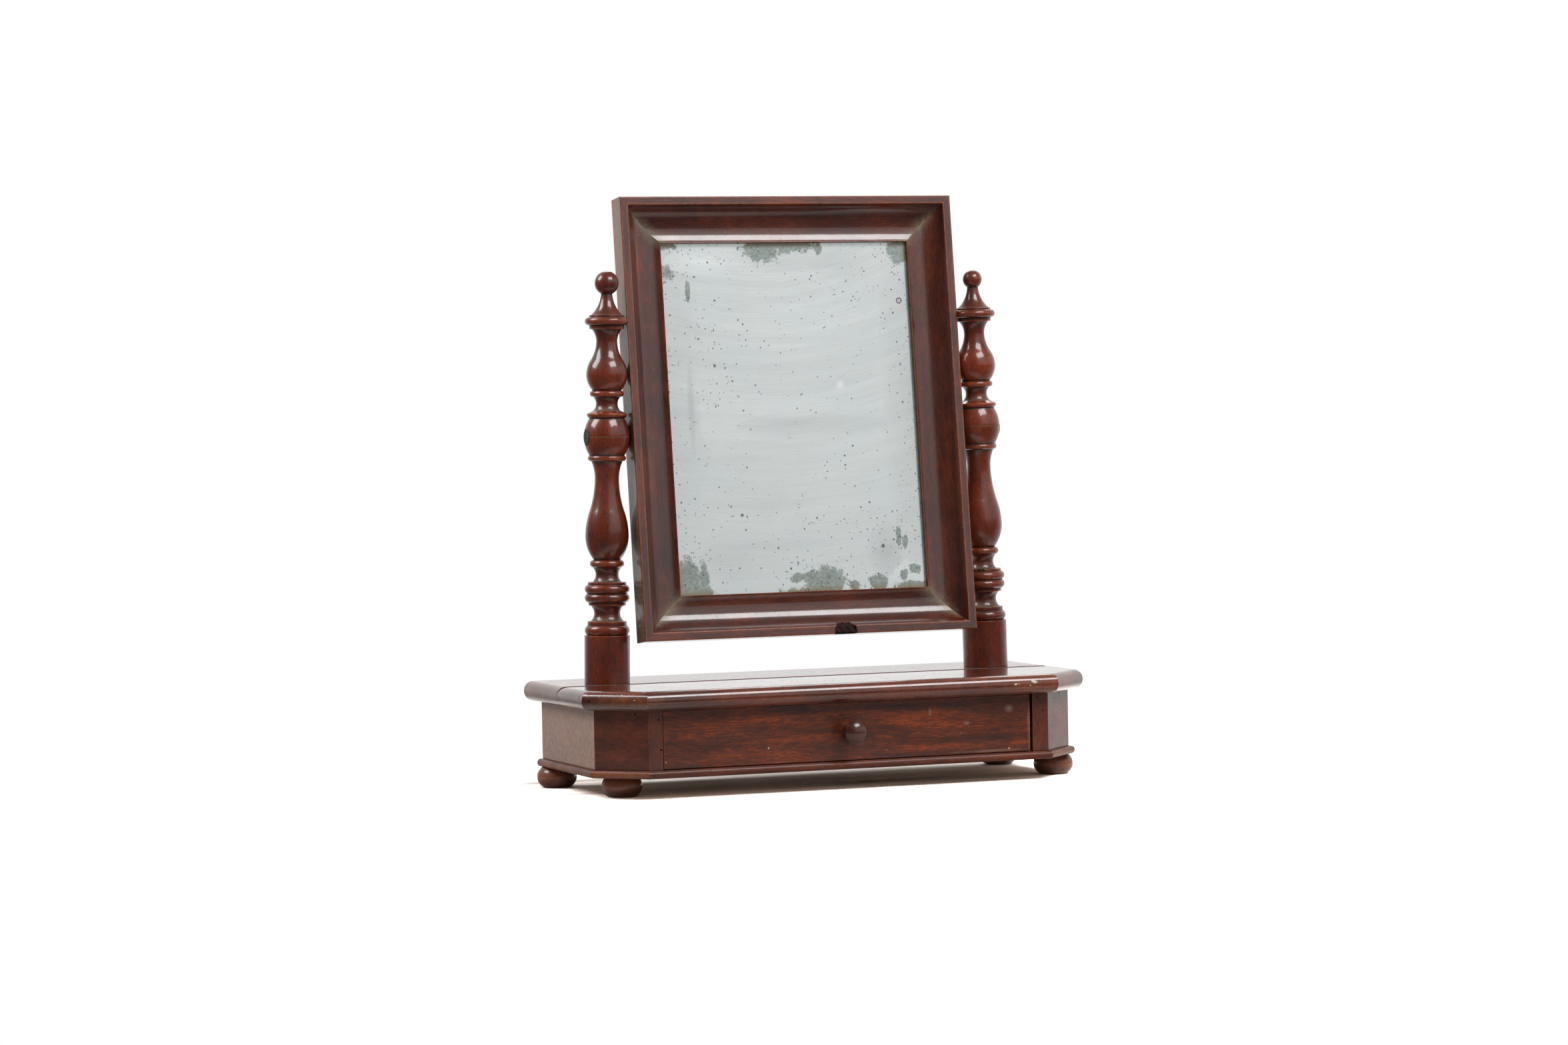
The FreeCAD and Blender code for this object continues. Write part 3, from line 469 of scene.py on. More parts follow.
# The turned columns. Members, in millimetres: radius reached, height gained, and radius half way
# up a curve. Neck and ball differ from left to right. The seat's edge is from its radius: where
# places are drawn out to it from, where its rim starts, and where that ends.
columns = {
    "lean": math.radians(1.1),
    "leanFrom": 6 * mm,
    "flatAt": 185.2 * mm,
    "flatFrom": 49.7 * mm,
    "seatAt": 227.74 * mm,
    "seatDeepest": 6 * mm,
    "seatRadius": 8.3 * mm,
    "seatEdge": (-0.7 * mm, 0.1 * mm, 0.8 * mm),
    "rimGap": 0.05 * mm,
    "neckRise": {-1: 32.7, 1: 35.1},
    "ball": {-1: 12.4, 1: 10.0},
    "ballNeck": 5.8,
    "foot": [(0, 0), (23.0, 0), (23.28, 0.08), (23.38, 0.3)],
    "lower": [
        (23.4, 49.3, None), (20.3, 0, None), (20.3, 10, 23.1), (20.2, 0, None), (20.2, 4.4, None),
        (17.2, 0, None), (17.2, 16.2, 13.4), (19.2, 0, None), (19.2, 3.4, None), (20.3, 0, None),
        (20.3, 8.9, 23.1), (20.3, 8.9, 23.1), (19.8, 0, None), (19.8, 2.9, None), (15, 0, None),
        (15, 15.2, 11.8), (13.7, 7.6, 17.7), (22.4, 23.5, 20.225), (17.6, 27.7, 21.2),
    ],
    "bulb": [(16.2, 17.5, 13.425), (18, 5.6, 19.7), (18, 38.4, 23.6)],
    "crown": [
        (20.5, 4.7, 20.4), (14, 3, None), (14, 14.2, 11.1), (14.6, 6.4, 17.6), (21.2, 16.2, 19.55),
        (16.7, 15, 20.075), (10.7, 19.5, 12.2), (15.5, 12.4, 11.9), (18, 0, None), (18, 4, None),
        (18, 8, 22.6), (18, 2.2, None), (16.5, 0, None), (5.8, 22, 8.475),
    ],
}


def columnProfile(hand):
    # the members, the ball on top, and a fine groove scribed half way up the bulb; the level of
    # the groove comes with it
    plan = columns
    lower = plan["lower"] + [(12.5, plan["neckRise"][hand], 13.775)] + plan["bulb"]
    profile = memberProfile(lower + plan["crown"], (23.4 * mm, 0))
    ball = plan["ball"][hand]
    sunk = math.sqrt(ball**2 - plan["ballNeck"]**2)
    t = np.linspace(-math.asin(sunk / ball), np.pi / 2, 60)[1:]
    centre = profile[-1, 1] + sunk * mm
    around = np.stack([ball * mm * np.cos(t), centre + ball * mm * np.sin(t)], -1)
    around[-1, 0] = 0
    above = profile[profile[:, 1] > 0.6 * mm]
    profile = np.concatenate([np.array(plan["foot"]) * mm, above, around])
    scribe = (sum(rise for _, rise, _ in lower[:-1]) + lower[-1][1] / 2) * mm
    # rows crowd round the scribed line, which is 0.5 mm wide and 0.3 mm deep
    lines = scribe + np.array([-0.5, -0.27, -0.1, 0.1, 0.27, 0.5]) * mm
    radii = np.interp(lines, profile[:, 1], profile[:, 0]) - np.array([0, 0, 0.3, 0.3, 0, 0]) * mm
    away = np.abs(profile[:, 1] - scribe) > 0.6 * mm
    low = profile[away & (profile[:, 1] < scribe)]
    high = profile[away & (profile[:, 1] > scribe)]
    return np.concatenate([low, np.stack([radii, lines], -1), high]), scribe


def column(hand, side, seed):
    # the profile turned, leaned about its foot, pared beside the frame and seated at the pivot
    plan = columns
    profile, scribe = columnProfile(hand)

    def lay(local):
        # leaned inwards about the foot, and flat on the board where it stands
        x, y, z = local.T
        c, s = math.cos(plan["lean"]), math.sin(plan["lean"])
        rise = np.clip(z / plan["leanFrom"], 0, 1)
        px = hand * basePlan["columnX"] + x * c - hand * z * s
        pz = basePlan["topFace"] + z * c + hand * x * s * rise
        # pared flat beside the frame, above the drum
        pared = (z > plan["flatFrom"]) & (hand * px < plan["flatAt"])
        px = np.where(pared, hand * plan["flatAt"], px)
        # a flat seat let in round the pivot for the screw's head; the places beside its edge are
        # drawn on to the edge, from inside and from outside
        dz = pz - basePlan["pivotZ"]
        reach = np.maximum(np.hypot(y, dz), 1e-9)
        outer = hand * px > plan["seatAt"] - plan["seatDeepest"]
        radius = plan["seatRadius"]
        drawn, start, end = [radius + apart for apart in plan["seatEdge"]]
        inside = outer & (reach < start)
        rim = outer & (reach >= start) & (reach < end)
        pull = np.where(inside & (reach > drawn), radius / reach, 1)
        pull = np.where(rim, (radius + plan["rimGap"]) / reach, pull)
        px = np.where(inside, hand * np.minimum(hand * px, plan["seatAt"]), px)
        return np.stack([px, basePlan["columnY"] + y * pull, basePlan["pivotZ"] + dz * pull], -1)

    def marksAt(local, marks):
        # the scribed line is full of dust and its sides aren't rubbed
        away = np.abs(local[:, 2] - scribe)
        marks["dust"] = np.where(away < 0.3 * mm, 1.0, marks["dust"])
        marks["wear"] = np.where(away < 1.2 * mm, 0, marks["wear"])

    turned("column_" + side, "column_" + side + "_turned", profile, lay, seed, 144, marksAt)


column(-1, "left", 11)
column(1, "right", 12)

# Bun feet, and the drawer's knob. The feet's places, and the knob's projection and rim, are in
# millimetres.
foot = {
    "places": {"front_left": (-228.3, -40.8), "front_right": (250.5, -40.8),
               "rear_left": (-250.0, 100.3), "rear_right": (250.0, 100.3)},
    "height": 21.5 * mm,
    "radius": 20.7 * mm,
    "ground": 13 * mm,
    "seat": 15 * mm,
    # the worn band round the widest part is partly a painted highlight
    "wear": 0.9,
    "dust": 0.4,
}
knob = {
    "x": -2.35 * mm,
    "z": 59.8 * mm,
    "projection": 25,
    "rimRadius": 11.6,
    "rimAt": 19.7,
    "grime": 0.66,
    "wear": 0.5,
}


def bunFoot(side, x, y, seed):
    # one round arc between its flat seat and the ground
    half = foot["height"] / 2
    bun = arc((foot["ground"], 0), (foot["radius"], half), (foot["seat"], foot["height"]), 0.6 * mm)
    profile = np.concatenate([[(0, 0), (foot["ground"] - 0.6 * mm, 0), (foot["ground"], 0.0)],
                              bun, [(0, foot["height"])]])

    def marksAt(local, marks):
        # knocks and brushing leave the widest part of the foot dull and pale; that pale worn band is
        # also a painted highlight
        marks["wear"] = np.exp(-((local[:, 2] - half * 1.1) / (6 * mm)) ** 2) * foot["wear"]
        marks["dust"] = np.full(len(local), foot["dust"])

    turned("foot_" + side, "foot_" + side + "_turned", softened(profile, False, 0.4 * mm),
           lambda local: local + np.array([x * mm, y * mm, 0]), seed, 96, marksAt)


for index, (side, (x, y)) in enumerate(foot["places"].items()):
    bunFoot(side, x, y, 21 + index)


def drawerKnob():
    # in millimetres: a plain stem, a hollow neck, a round rim and a low domed face
    ahead, rim, rimAt = knob["projection"], knob["rimRadius"], knob["rimAt"]
    stem = [(0, 0), (8, 0), (8, 2), (5.6, 6)]
    neck = arc((5.6, 6), (5.6 + 6.8 / 3, 12.25), (11.2, 16.1), 0.4)
    edge = arc((11.2, 16.1), (12.4, 17.9), (rim, rimAt), 0.4)
    rise = ahead - rimAt
    radius = (rim**2 + rise**2) / (2 * rise)
    t = np.linspace(math.asin(rim / radius), 0, 26)[1:]
    dome = np.stack([radius * np.sin(t), ahead - radius + radius * np.cos(t)], -1)
    profile = softened(np.concatenate([stem, neck, edge, dome]) * mm, False, 0.3 * mm)
    profile = divided(profile, False, 1.2 * mm)
    profile[-1, 0] = 0

    def lay(local):
        # its axis comes straight forward out of the drawer front
        x, y, z = local.T
        return np.stack([knob["x"] + x, basePlan["front"] - z, knob["z"] + y], -1)

    def marksAt(local, marks):
        # stained darker than the drawer, and handled
        marks["grime"] = np.full(len(local), knob["grime"])
        marks["wear"] = marks["wear"] * knob["wear"]

    turned("drawer_knob", "knob_turned", profile, lay, 31, 128, marksAt)


drawerKnob()
print("columns, feet and knob turned")

# The mirror frame, hung on its pivots, and its moulding's section in millimetres: in from the
# outer edge, and back from the front.
moulding = {
    "above": 246.3 * mm,
    "below": 213.1 * mm,
    "half": 184.8 * mm,
    "ahead": 17.9 * mm,
    "lean": math.radians(-6.65),
    "arris": 0.7 * mm,
    "step": 2.4 * mm,
    "rim": 8.4,
    "cove": [(33, 17), (46.5, 14)],
    "back": [(46.5, 19.5), (38.5, 19.5), (38.5, 27), (0, 27)],
    "shown": 18 * mm,
    "lip": (46.2 * mm, 14.6 * mm),
    "dustFrom": 10 * mm,
    "dustFade": 12 * mm,
    "mitreDust": 9 * mm,
    "coveDust": {"bottom": 1.0, "top": 0.55, "left": 0.55, "right": 0.55},
    "sideDust": 0.5,
}
# The chip out of the bottom rail's rim: where it is along the rail, and how far it goes.
rimChip = {
    "centre": 36.5 * mm,
    "half": 12.5 * mm,
    "depth": 2.4 * mm,
    "inset": 12.5 * mm,
}


def leaned(points):
    # from the upright frame to its lean about the pivots
    c, s = math.cos(moulding["lean"]), math.sin(moulding["lean"])
    x, y, z = points.T
    return np.stack([x, basePlan["columnY"] + y * c - z * s, basePlan["pivotZ"] + y * s + z * c], -1)


def chipRim(grid, s, d):
    # breaks a ragged chip out of the rim's front arris, and tells how much of each place is lost
    chip, x, inwards = rimChip, grid[..., 0], s[None]
    u = (x - chip["centre"]) / chip["half"]
    ragged = 1 + 0.06 * np.sin(x / mm * 0.9 + 0.6) + 0.05 * np.sin(x / mm * 2.3)
    height = chip["inset"] * ragged * (1 - np.abs(u) ** 3.5 * 0.55)
    lost = np.clip((height - inwards) / (1.6 * mm), 0, 1) * np.clip((1 - np.abs(u)) * 7, 0, 1)
    lost = lost * ((s < 16 * mm) & (d < 6 * mm))[None]
    splinter = 0.85 + 0.15 * np.sin(x / mm * 0.8 + inwards / mm * 0.6)
    grid[..., 1] += lost * chip["depth"] * splinter * (inwards < 12 * mm)
    grid[..., 2] += lost * chip["depth"] * 0.5 * np.clip(1 - inwards / (6 * mm), 0, 1)
    return np.clip(lost * 1.6, 0, 1)


def frameMember(node, way, seed):
    # the section swept between two mitres; each place of it ends further in by its own distance
    plan, lying = moulding, way in ("top", "bottom")
    rim = plan["rim"]
    section = np.concatenate([[(0, 0), (rim, 0)], arc((rim, 0), *plan["cove"], 0.8), plan["back"]])
    section = divided(softened(section * mm, True, plan["arris"]), True, 1.6 * mm)
    s, d = section.T
    y = d - plan["ahead"]
    x, top, low = plan["half"] - s, plan["above"] - s, s - plan["below"]
    if lying:
        ends = [np.stack([side * x, y, top if way == "top" else low], -1) for side in (-1, 1)]
    else:
        ends = [np.stack([x if way == "right" else -x, y, z], -1) for z in (low, top)]
    lengths = np.linalg.norm(ends[1] - ends[0], axis=1)
    length = lengths.max()
    # stations crowd at the mitres, where dust and dark lines gather, and at the chip
    t = np.linspace(0, 1, int(length / plan["step"]) + 1)
    near = np.array([0.15, 0.35, 0.6, 1.0, 1.5]) * mm / length
    t = np.sort(np.concatenate([t, near, 1 - near]))
    if way == "bottom":
        chipAt = (rimChip["centre"] + plan["half"]) / (2 * plan["half"])
        t = np.sort(np.concatenate([t, chipAt + np.linspace(-14, 14, 57) * mm / length]))
    grid = ends[0][None] * (1 - t[:, None, None]) + ends[1][None] * t[:, None, None]
    rows, places = grid.shape[:2]
    chipped = chipRim(grid, s, d) if way == "bottom" else np.zeros((rows, places))
    proud, _ = bulge(section, True, 2.0 * mm)
    wear = np.tile(np.clip(proud / (0.5 * mm), 0, 1), (rows, 1))
    # dust in the cove near the mitres, in the hollows, and on the stiles' dull outer sides
    shown = (s > rim * mm) & (d < plan["shown"])
    inCove = np.clip((s - plan["dustFrom"]) / plan["dustFade"], 0, 1) * shown
    toMitre = np.minimum(t, 1 - t)[:, None] * lengths[None]
    dust = (np.exp(-toMitre / plan["mitreDust"]) * inCove * plan["coveDust"][way]
            + 0.25 * np.clip(-proud / (0.3 * mm), 0, 1))
    if not lying:
        dust = dust + plan["sideDust"] * ((s < 0.3 * mm) & (d > 1.2 * mm))
    # dirt and painted shade in the hollows, and painted shade on the lip round the glass, except on
    # the bottom rail's lip
    lip = (s > plan["lip"][0]) & (d > plan["lip"][1]) & (way != "bottom")
    grime = np.maximum(0.8 * np.clip(-proud / (0.25 * mm), 0, 1), 0.95 * lip)
    points = grid.reshape(-1, 3)
    marks = {"grain": woodGrain(points, (1, 0, 0) if lying else (0, 0, 1), seed),
             "wear": (wear * (1 - chipped)).ravel(), "dust": np.clip(dust, 0, 1).ravel(),
             "chip": 0.9 * chipped.ravel(), "grime": np.tile(grime, (rows, 1)).ravel()}
    newPiece(node + "_moulded", leaned(points), cappedTube(rows, places), node, marks, 40)


for index, member in enumerate(("rail_top", "rail_bottom", "stile_left", "stile_right")):
    frameMember("frame_" + member, member.split("_")[1], 41 + index)

# The old silvered plate. Its bounds, the opening's half width, fall and rise, and the reach of
# the edge's band are in millimetres, as the lists are. Lost silver, clusters of specks and
# tones: across and up from the pivots, half width and half height, and how much. The tones are
# haze and also painted shade and reflection: darker bands down the left and right edges, and
# paler or darker patches. Spots and the ring: across, up and radius.
plate = {
    "half": 145.3,
    "low": -173.6,
    "high": 206.8,
    "front": 19.5,
    "thickness": 2.6 * mm,
    "step": 1.5 * mm,
    "sight": (138.3, 166.6, 199.8),
    "edge": 9.0,
    "wipeCentre": (-25, 480),
    "lost": [(-22, 195, 24, 16, 1.0), (8, 198, 30, 9, 1.0), (39, 193, 5, 7, 0.9),
             (134, 192, 17, 15, 1.0), (-130, 169, 9, 13, 0.75), (-132, 196, 20, 5, 0.8),
             (-109.5, 150, 2.6, 11, 1.1), (-129, -150, 14, 22, 1.0), (-110, -147, 6, 20, 0.85),
             (-120, -165, 22, 10, 1.0), (24, -157, 25, 15, 1.0), (-6, -152, 13, 6, 0.8),
             (6, -167, 34, 6, 0.9), (57, -162, 8, 7, 0.9), (85, -159, 11, 9, 1.0),
             (113, -153, 5, 7, 0.95), (126, -146, 7, 6, 0.95), (125, -165, 22, 6, 1.0),
             (110.5, -112, 3, 10, 1.1), (117, -118, 3, 7, 1.1), (-137, 60, 3, 60, 0.5),
             (137, -60, 3, 70, 0.55)],
    "speckled": [(-85, 110, 24, 22, 0.9), (-75, 40, 30, 30, 0.5), (-120, 170, 26, 26, 0.9),
                 (70, 150, 40, 16, 0.8), (100, -125, 36, 30, 1.0), (20, -140, 60, 18, 0.8),
                 (-110, -100, 26, 24, 0.6), (128, 20, 12, 160, 0.6), (-5, -100, 60, 14, 0.4),
                 (60, -95, 34, 12, 0.8), (-100, 185, 40, 12, 0.7)],
    "tonesWithPaintedLight": [(-95, 180, 38, 12, 0.8), (-80, 10, 40, 26, 0.25), (-130, 30, 26, 190, -0.5),
              (133, 20, 24, 190, -0.7), (120, -150, 40, 14, 0.6), (96, -128, 17, 27, -1.0),
              (-90, -130, 60, 22, -0.55), (0, 120, 90, 50, 0.25), (60, 176, 26, 12, -0.5),
              (-60, -75, 70, 10, -0.3), (-118, 20, 5, 60, -0.5), (-60, -118, 70, 9, -0.5),
              (-20, 28, 110, 10, 0.4), (20, 8, 110, 8, -0.4), (-113, 28, 4, 48, -1.4),
              (54.6, 49.4, 4, 4, 1.5)],
    "spots": [(-84.3, 71.5, 1.5), (-73.0, 69.0, 1.0), (-71.8, 59.8, 0.8), (-40.5, 50.4, 0.9),
              (-48.2, 98.0, 0.8), (-64.0, -84.8, 1.8), (-58.5, -86.5, 1.0), (-115.0, -66.5, 1.0),
              (122.0, 93.5, 1.0), (110.0, 118.0, 0.8), (-26.0, -120.0, 1.0), (-13.0, -142.0, 1.2),
              (-4.5, -136.5, 1.1), (92.0, -121.5, 2.0), (-101.5, 164.5, 1.0)],
    "ring": (127.2, 137.2, 2.6),
}


def softOvals(x, z, ovals, sharp):
    # the strongest that any oval gives each place; each fades from its middle outwards
    strongest = np.zeros(len(x))
    for cx, cz, rx, rz, amount in ovals:
        apart = np.hypot((x - cx) / rx, (z - cz) / rz)
        share = amount * np.clip(1 - sharp * apart, 0, 1)
        strongest = np.where(np.abs(share) > np.abs(strongest), share, strongest)
    return strongest


def mirrorPlate():
    # a flat grid over the plate's front, closed behind by its outline moved back
    plan = plate
    half, low, high = plan["half"] * mm, plan["low"] * mm, plan["high"] * mm
    nx, nz = int(2 * half / plan["step"]) + 1, int((high - low) / plan["step"]) + 1
    x, z = np.meshgrid(np.linspace(-half, half, nx), np.linspace(low, high, nz))
    y = np.full_like(x, plan["front"] * mm - moulding["ahead"])
    face = np.stack([x, y, z], -1).reshape(-1, 3)
    r = np.arange(nx * nz).reshape(nz, nx)
    rim = np.concatenate([r[0], r[1:, -1], r[-1, -2::-1], r[-2:0:-1, 0]])
    behind = np.arange(len(rim)) + len(face)
    sides = np.stack([rim, behind, np.roll(behind, -1), np.roll(rim, -1)], -1)
    points = np.concatenate([face, face[rim] + np.array([0, plan["thickness"], 0])])
    x, y, z = points.T / mm
    across, down, up = plan["sight"]
    sight = np.minimum(np.minimum(across - np.abs(x), z + down), up - z)
    # wiping marks follow arcs about a point above the plate: distance from it, and way round it
    wx, wz = x - plan["wipeCentre"][0], z - plan["wipeCentre"][1]
    # soft ovals and a band along the edges, which the finish breaks up
    marks = {"lost": softOvals(x, z, plan["lost"], 0.5),
             "edge": np.exp(-np.clip(sight, 0, None) / plan["edge"]),
             "speckled": np.clip(softOvals(x, z, plan["speckled"], 0.6), 0, 1),
             # tone: haze, and painted shade and reflection, darker down the left and right edges
             "tone": softOvals(x, z, plan["tonesWithPaintedLight"], 0.7),
             "sheet": np.stack([x, z, y], -1) * mm,
             "wipe": np.stack([np.hypot(wx, wz) * mm, np.arctan2(wx, -wz) * 0.3, x * 0], -1)}
    faces = gridFaces(nz, nx) + sides.tolist() + [behind.tolist()]
    newPiece("mirror_plate_silvered", leaned(points), faces, "mirror_glass", marks)


mirrorPlate()
print("mirror frame and plate made")

# Flat work: the CAD solids with their sharp edges eased, holes of worm and nails let in, and
# their own grain. Along is the grain's way, ease the width of the rounded edge in millimetres,
# and a hole its place and radius, in millimetres too.
panels = {
    # the left side's heavy pale dust is partly a painted sheen
    "side_panel_left": {"along": (0, 1, 0), "ease": 0.6, "dust": 0.95, "holes": [
        ((-262, 106.0, 80.2), 0.8), ((-262, 56.6, 72.4), 0.6), ((-262, 90.6, 67.2), 0.7),
        ((-262, -47.6, 85.4), 0.8), ((-262, -49.4, 59.6), 0.6), ((-262, 13.4, 86.0), 0.7),
        ((-262, 13.4, 84.4), 0.7), ((-262, 13.4, 82.8), 0.6)]},
    "side_panel_right": {"along": (0, 1, 0), "ease": 0.6, "dust": 0.4, "holes": [
        ((262, -20.0, 61.0), 0.7), ((262, 62.0, 44.0), 0.8), ((262, 88.0, 77.0), 0.6)]},
    "corner_panel_left": {"along": (1, -1, 0), "ease": 0.6, "holes": [((-229.6, -87.7, 86.4), 1.0)]},
    "corner_panel_right": {"along": (1, 1, 0), "ease": 0.6, "holes": [
        ((243.2, -74.1, 87.4), 0.8), ((256.6, -60.7, 72.1), 0.7), ((249.3, -68.0, 34.6), 0.6)]},
    "front_stile_left": {"along": (0, 0, 1), "ease": 0.5, "holes": [
        ((-208.8, -98.3, 80.8), 0.95), ((-206.2, -98.3, 50.3), 0.95)]},
    "front_stile_right": {"along": (0, 0, 1), "ease": 0.5, "holes": [
        ((207.4, -98.3, 85.4), 0.85), ((213.5, -98.3, 71.5), 0.8)]},
    "drawer_front": {"along": (1, 0, 0), "ease": 1.0},
    "back_panel": {"along": (1, 0, 0), "ease": 0.5, "holes": [
        ((-150, 110.3, 44), 0.8), ((-141, 110.3, 49), 0.7), ((96, 110.3, 71), 0.8)]},
    "bottom_board": {"along": (1, 0, 0), "ease": 0.4},
    "drawer_side_left": {"along": (0, 1, 0), "ease": 0.4},
    "drawer_side_right": {"along": (0, 1, 0), "ease": 0.4},
    "drawer_back": {"along": (1, 0, 0), "ease": 0.4},
    "drawer_bottom": {"along": (1, 0, 0), "ease": 0.3},
    "drawer_guide_left": {"along": (0, 1, 0), "ease": 0.5},
    "drawer_guide_right": {"along": (0, 1, 0), "ease": 0.5},
    "drawer_stop_left": {"along": (1, 0, 0), "ease": 0.5},
    "drawer_stop_right": {"along": (1, 0, 0), "ease": 0.5},
    "glue_block_left": {"along": (0, 0, 1), "ease": 0.6},
    "glue_block_right": {"along": (0, 0, 1), "ease": 0.6},
    "mirror_backboard": {"along": (0, 0, 1), "ease": 0.4},
}
# A hole is let in by a cone: its length, how far below the face its middle lies, and its floor's
# share of its radius. Points between two depths and within a spread of the radius are painted dark
# as the shade inside the hole.
pit = {
    "depth": 3.2 * mm,
    "middle": 1.4 * mm,
    "taper": 0.8,
    "dark": (0.3 * mm, 3.4 * mm),
    "spread": 1.2,
}


def worked(thing, kind, **settings):
    # the thing's mesh as one modifier leaves it
    modifier = thing.modifiers.new(kind, kind)
    for key, value in settings.items():
        setattr(modifier, key, value)
    graph = bpy.context.evaluated_depsgraph_get()
    mesh = bpy.data.meshes.new_from_object(thing.evaluated_get(graph))
    thing.modifiers.clear()
    return mesh


def toMesh(name, work):
    mesh = bpy.data.meshes.new(name)
    work.to_mesh(mesh)
    work.free()
    return mesh


def cutOut(thing, work):
    # the thing's mesh with the bmesh's solids taken out of it
    cutter = putIn("cutter", toMesh("cutter", work))
    mesh = worked(thing, "BOOLEAN", operation="DIFFERENCE", solver="EXACT", object=cutter)
    bpy.data.objects.remove(cutter)
    return mesh


def eased(node, width):
    # the CAD solid with its sharp edges rounded, and the rounds' middle points, which are rubbed
    work = bmesh.new()
    work.from_mesh(nodes[node].data)
    bmesh.ops.remove_doubles(work, verts=work.verts, dist=1e-6)
    bmesh.ops.dissolve_limit(work, angle_limit=math.radians(0.5), verts=work.verts, edges=work.edges)
    mesh = toMesh(node + "_work", work)
    mesh.materials.clear()
    for _ in range(2):
        mesh.materials.append(None)
    mesh.polygons.foreach_set("material_index", np.zeros(len(mesh.polygons), np.int32))
    thing = putIn(node + "_work", mesh)
    mesh = worked(thing, "BEVEL", width=width, segments=4, limit_method="ANGLE",
                  angle_limit=math.radians(40), material=1)
    bpy.data.objects.remove(thing)
    # the rounds' middle points touch no flat face
    flat = np.repeat(read(mesh.polygons, "material_index", 1, np.int32) == 0,
                     read(mesh.polygons, "loop_total", 1, np.int32))
    middle = np.ones(len(mesh.vertices), bool)
    middle[read(mesh.loops, "vertex_index", 1, np.int32)[flat]] = False
    mesh.polygons.foreach_set("material_index", np.zeros(len(mesh.polygons), np.int32))
    mesh.materials.clear()
    return mesh, read(mesh.vertices, "co", 3)[middle]


def drilled(mesh, holes):
    # each hole is a twelve-sided pit let in straight from the face it starts on
    work = bmesh.new()
    for place, radius, out in holes:
        turn = out.to_track_quat("Z", "Y").to_matrix().to_4x4()
        bmesh.ops.create_cone(work, cap_ends=True, segments=12, radius1=radius * pit["taper"],
                              radius2=radius, depth=pit["depth"],
                              matrix=Matrix.Translation(place - out * pit["middle"]) @ turn)
    thing = putIn("panel_work", mesh)
    mesh = cutOut(thing, work)
    bpy.data.objects.remove(thing)
    return mesh


def flatWork(node, plan, seed):
    # a point is rubbed where it is one of the eased edges' own middle points
    mesh, rubbed = eased(node, plan["ease"] * mm)
    holes = []
    for place, radius in plan.get("holes", []):
        place = Vector(place) * mm
        _, out, _, _ = nodes[node].closest_point_on_mesh(place)
        holes.append((place, radius * mm, out))
    if holes:
        mesh = drilled(mesh, holes)
    points = read(mesh.vertices, "co", 3)
    tree = kdtree.KDTree(len(rubbed))
    for index, point in enumerate(rubbed):
        tree.insert(point, index)
    tree.balance()
    wear = [len(rubbed) > 0 and tree.find(point)[2] < 1e-5 for point in points]
    # a hole's wall and floor, below its face, are painted dark as shade
    chip = np.zeros(len(points))
    for place, radius, out in holes:
        place, out = np.array(place), np.array(out)
        depth = (place - points) @ out
        apart = np.linalg.norm(points + depth[:, None] * out - place, axis=1)
        start, end = pit["dark"]
        chip[(depth > start) & (depth < end) & (apart < radius * pit["spread"])] = 1
    setMarks(mesh, {"grain": woodGrain(points, plan["along"], seed), "wear": wear,
                    "dust": np.full(len(points), plan.get("dust", 0)), "chip": chip})
    finishMesh(mesh, 30)
    mesh.name = node + "_worked"
    standFor(node, mesh)


for index, (node, plan) in enumerate(panels.items()):
    flatWork(node, plan, 51 + index)
print("panels, drawer and inside pieces worked")


# The pivot screws: a flat head with a slot filed across it, on a plain shank.
screw = {
    "headOut": 230.34 * mm,
    "headIn": 227.76 * mm,
    "headRadius": 8 * mm,
    "shank": 3 * mm,
    "shankEnd": 172.8 * mm,
    "tipEnd": 167.8 * mm,
    "tipRadius": 0.8 * mm,
    "slotWidth": 1.3 * mm,
    "slotDepth": 1.2 * mm,
}


def pivotScrew(hand, side, seed):
    # turned about the pivot's axis, with a slot cut across the head
    plan = screw
    profile = [(0, plan["tipEnd"]), (plan["tipRadius"], plan["tipEnd"]),
               (plan["shank"], plan["shankEnd"]), (plan["shank"], plan["headIn"]),
               (plan["headRadius"], plan["headIn"]), (plan["headRadius"], plan["headOut"]),
               (0, plan["headOut"])]
    profile = softened(profile, False, 0.35 * mm)
    profile[0, 0] = profile[-1, 0] = 0

    def lay(local):
        x, y, z = local.T
        return np.stack([hand * z, basePlan["columnY"] + x, basePlan["pivotZ"] + hand * y], -1)

    name = "pivot_screw_" + side
    piece = turned(name, name + "_filed", profile, lay, seed, 72)
    size = Matrix.Diagonal((plan["slotDepth"] * 2, plan["slotWidth"], plan["headRadius"] * 3, 1))
    where = Vector((hand * plan["headOut"], basePlan["columnY"], basePlan["pivotZ"]))
    slot = bmesh.new()
    bmesh.ops.create_cube(slot, size=1, matrix=Matrix.Translation(where) @ size)
    piece.data = cutOut(piece, slot)
    finishMesh(piece.data, 30)


pivotScrew(-1, "left", 81)
pivotScrew(1, "right", 82)


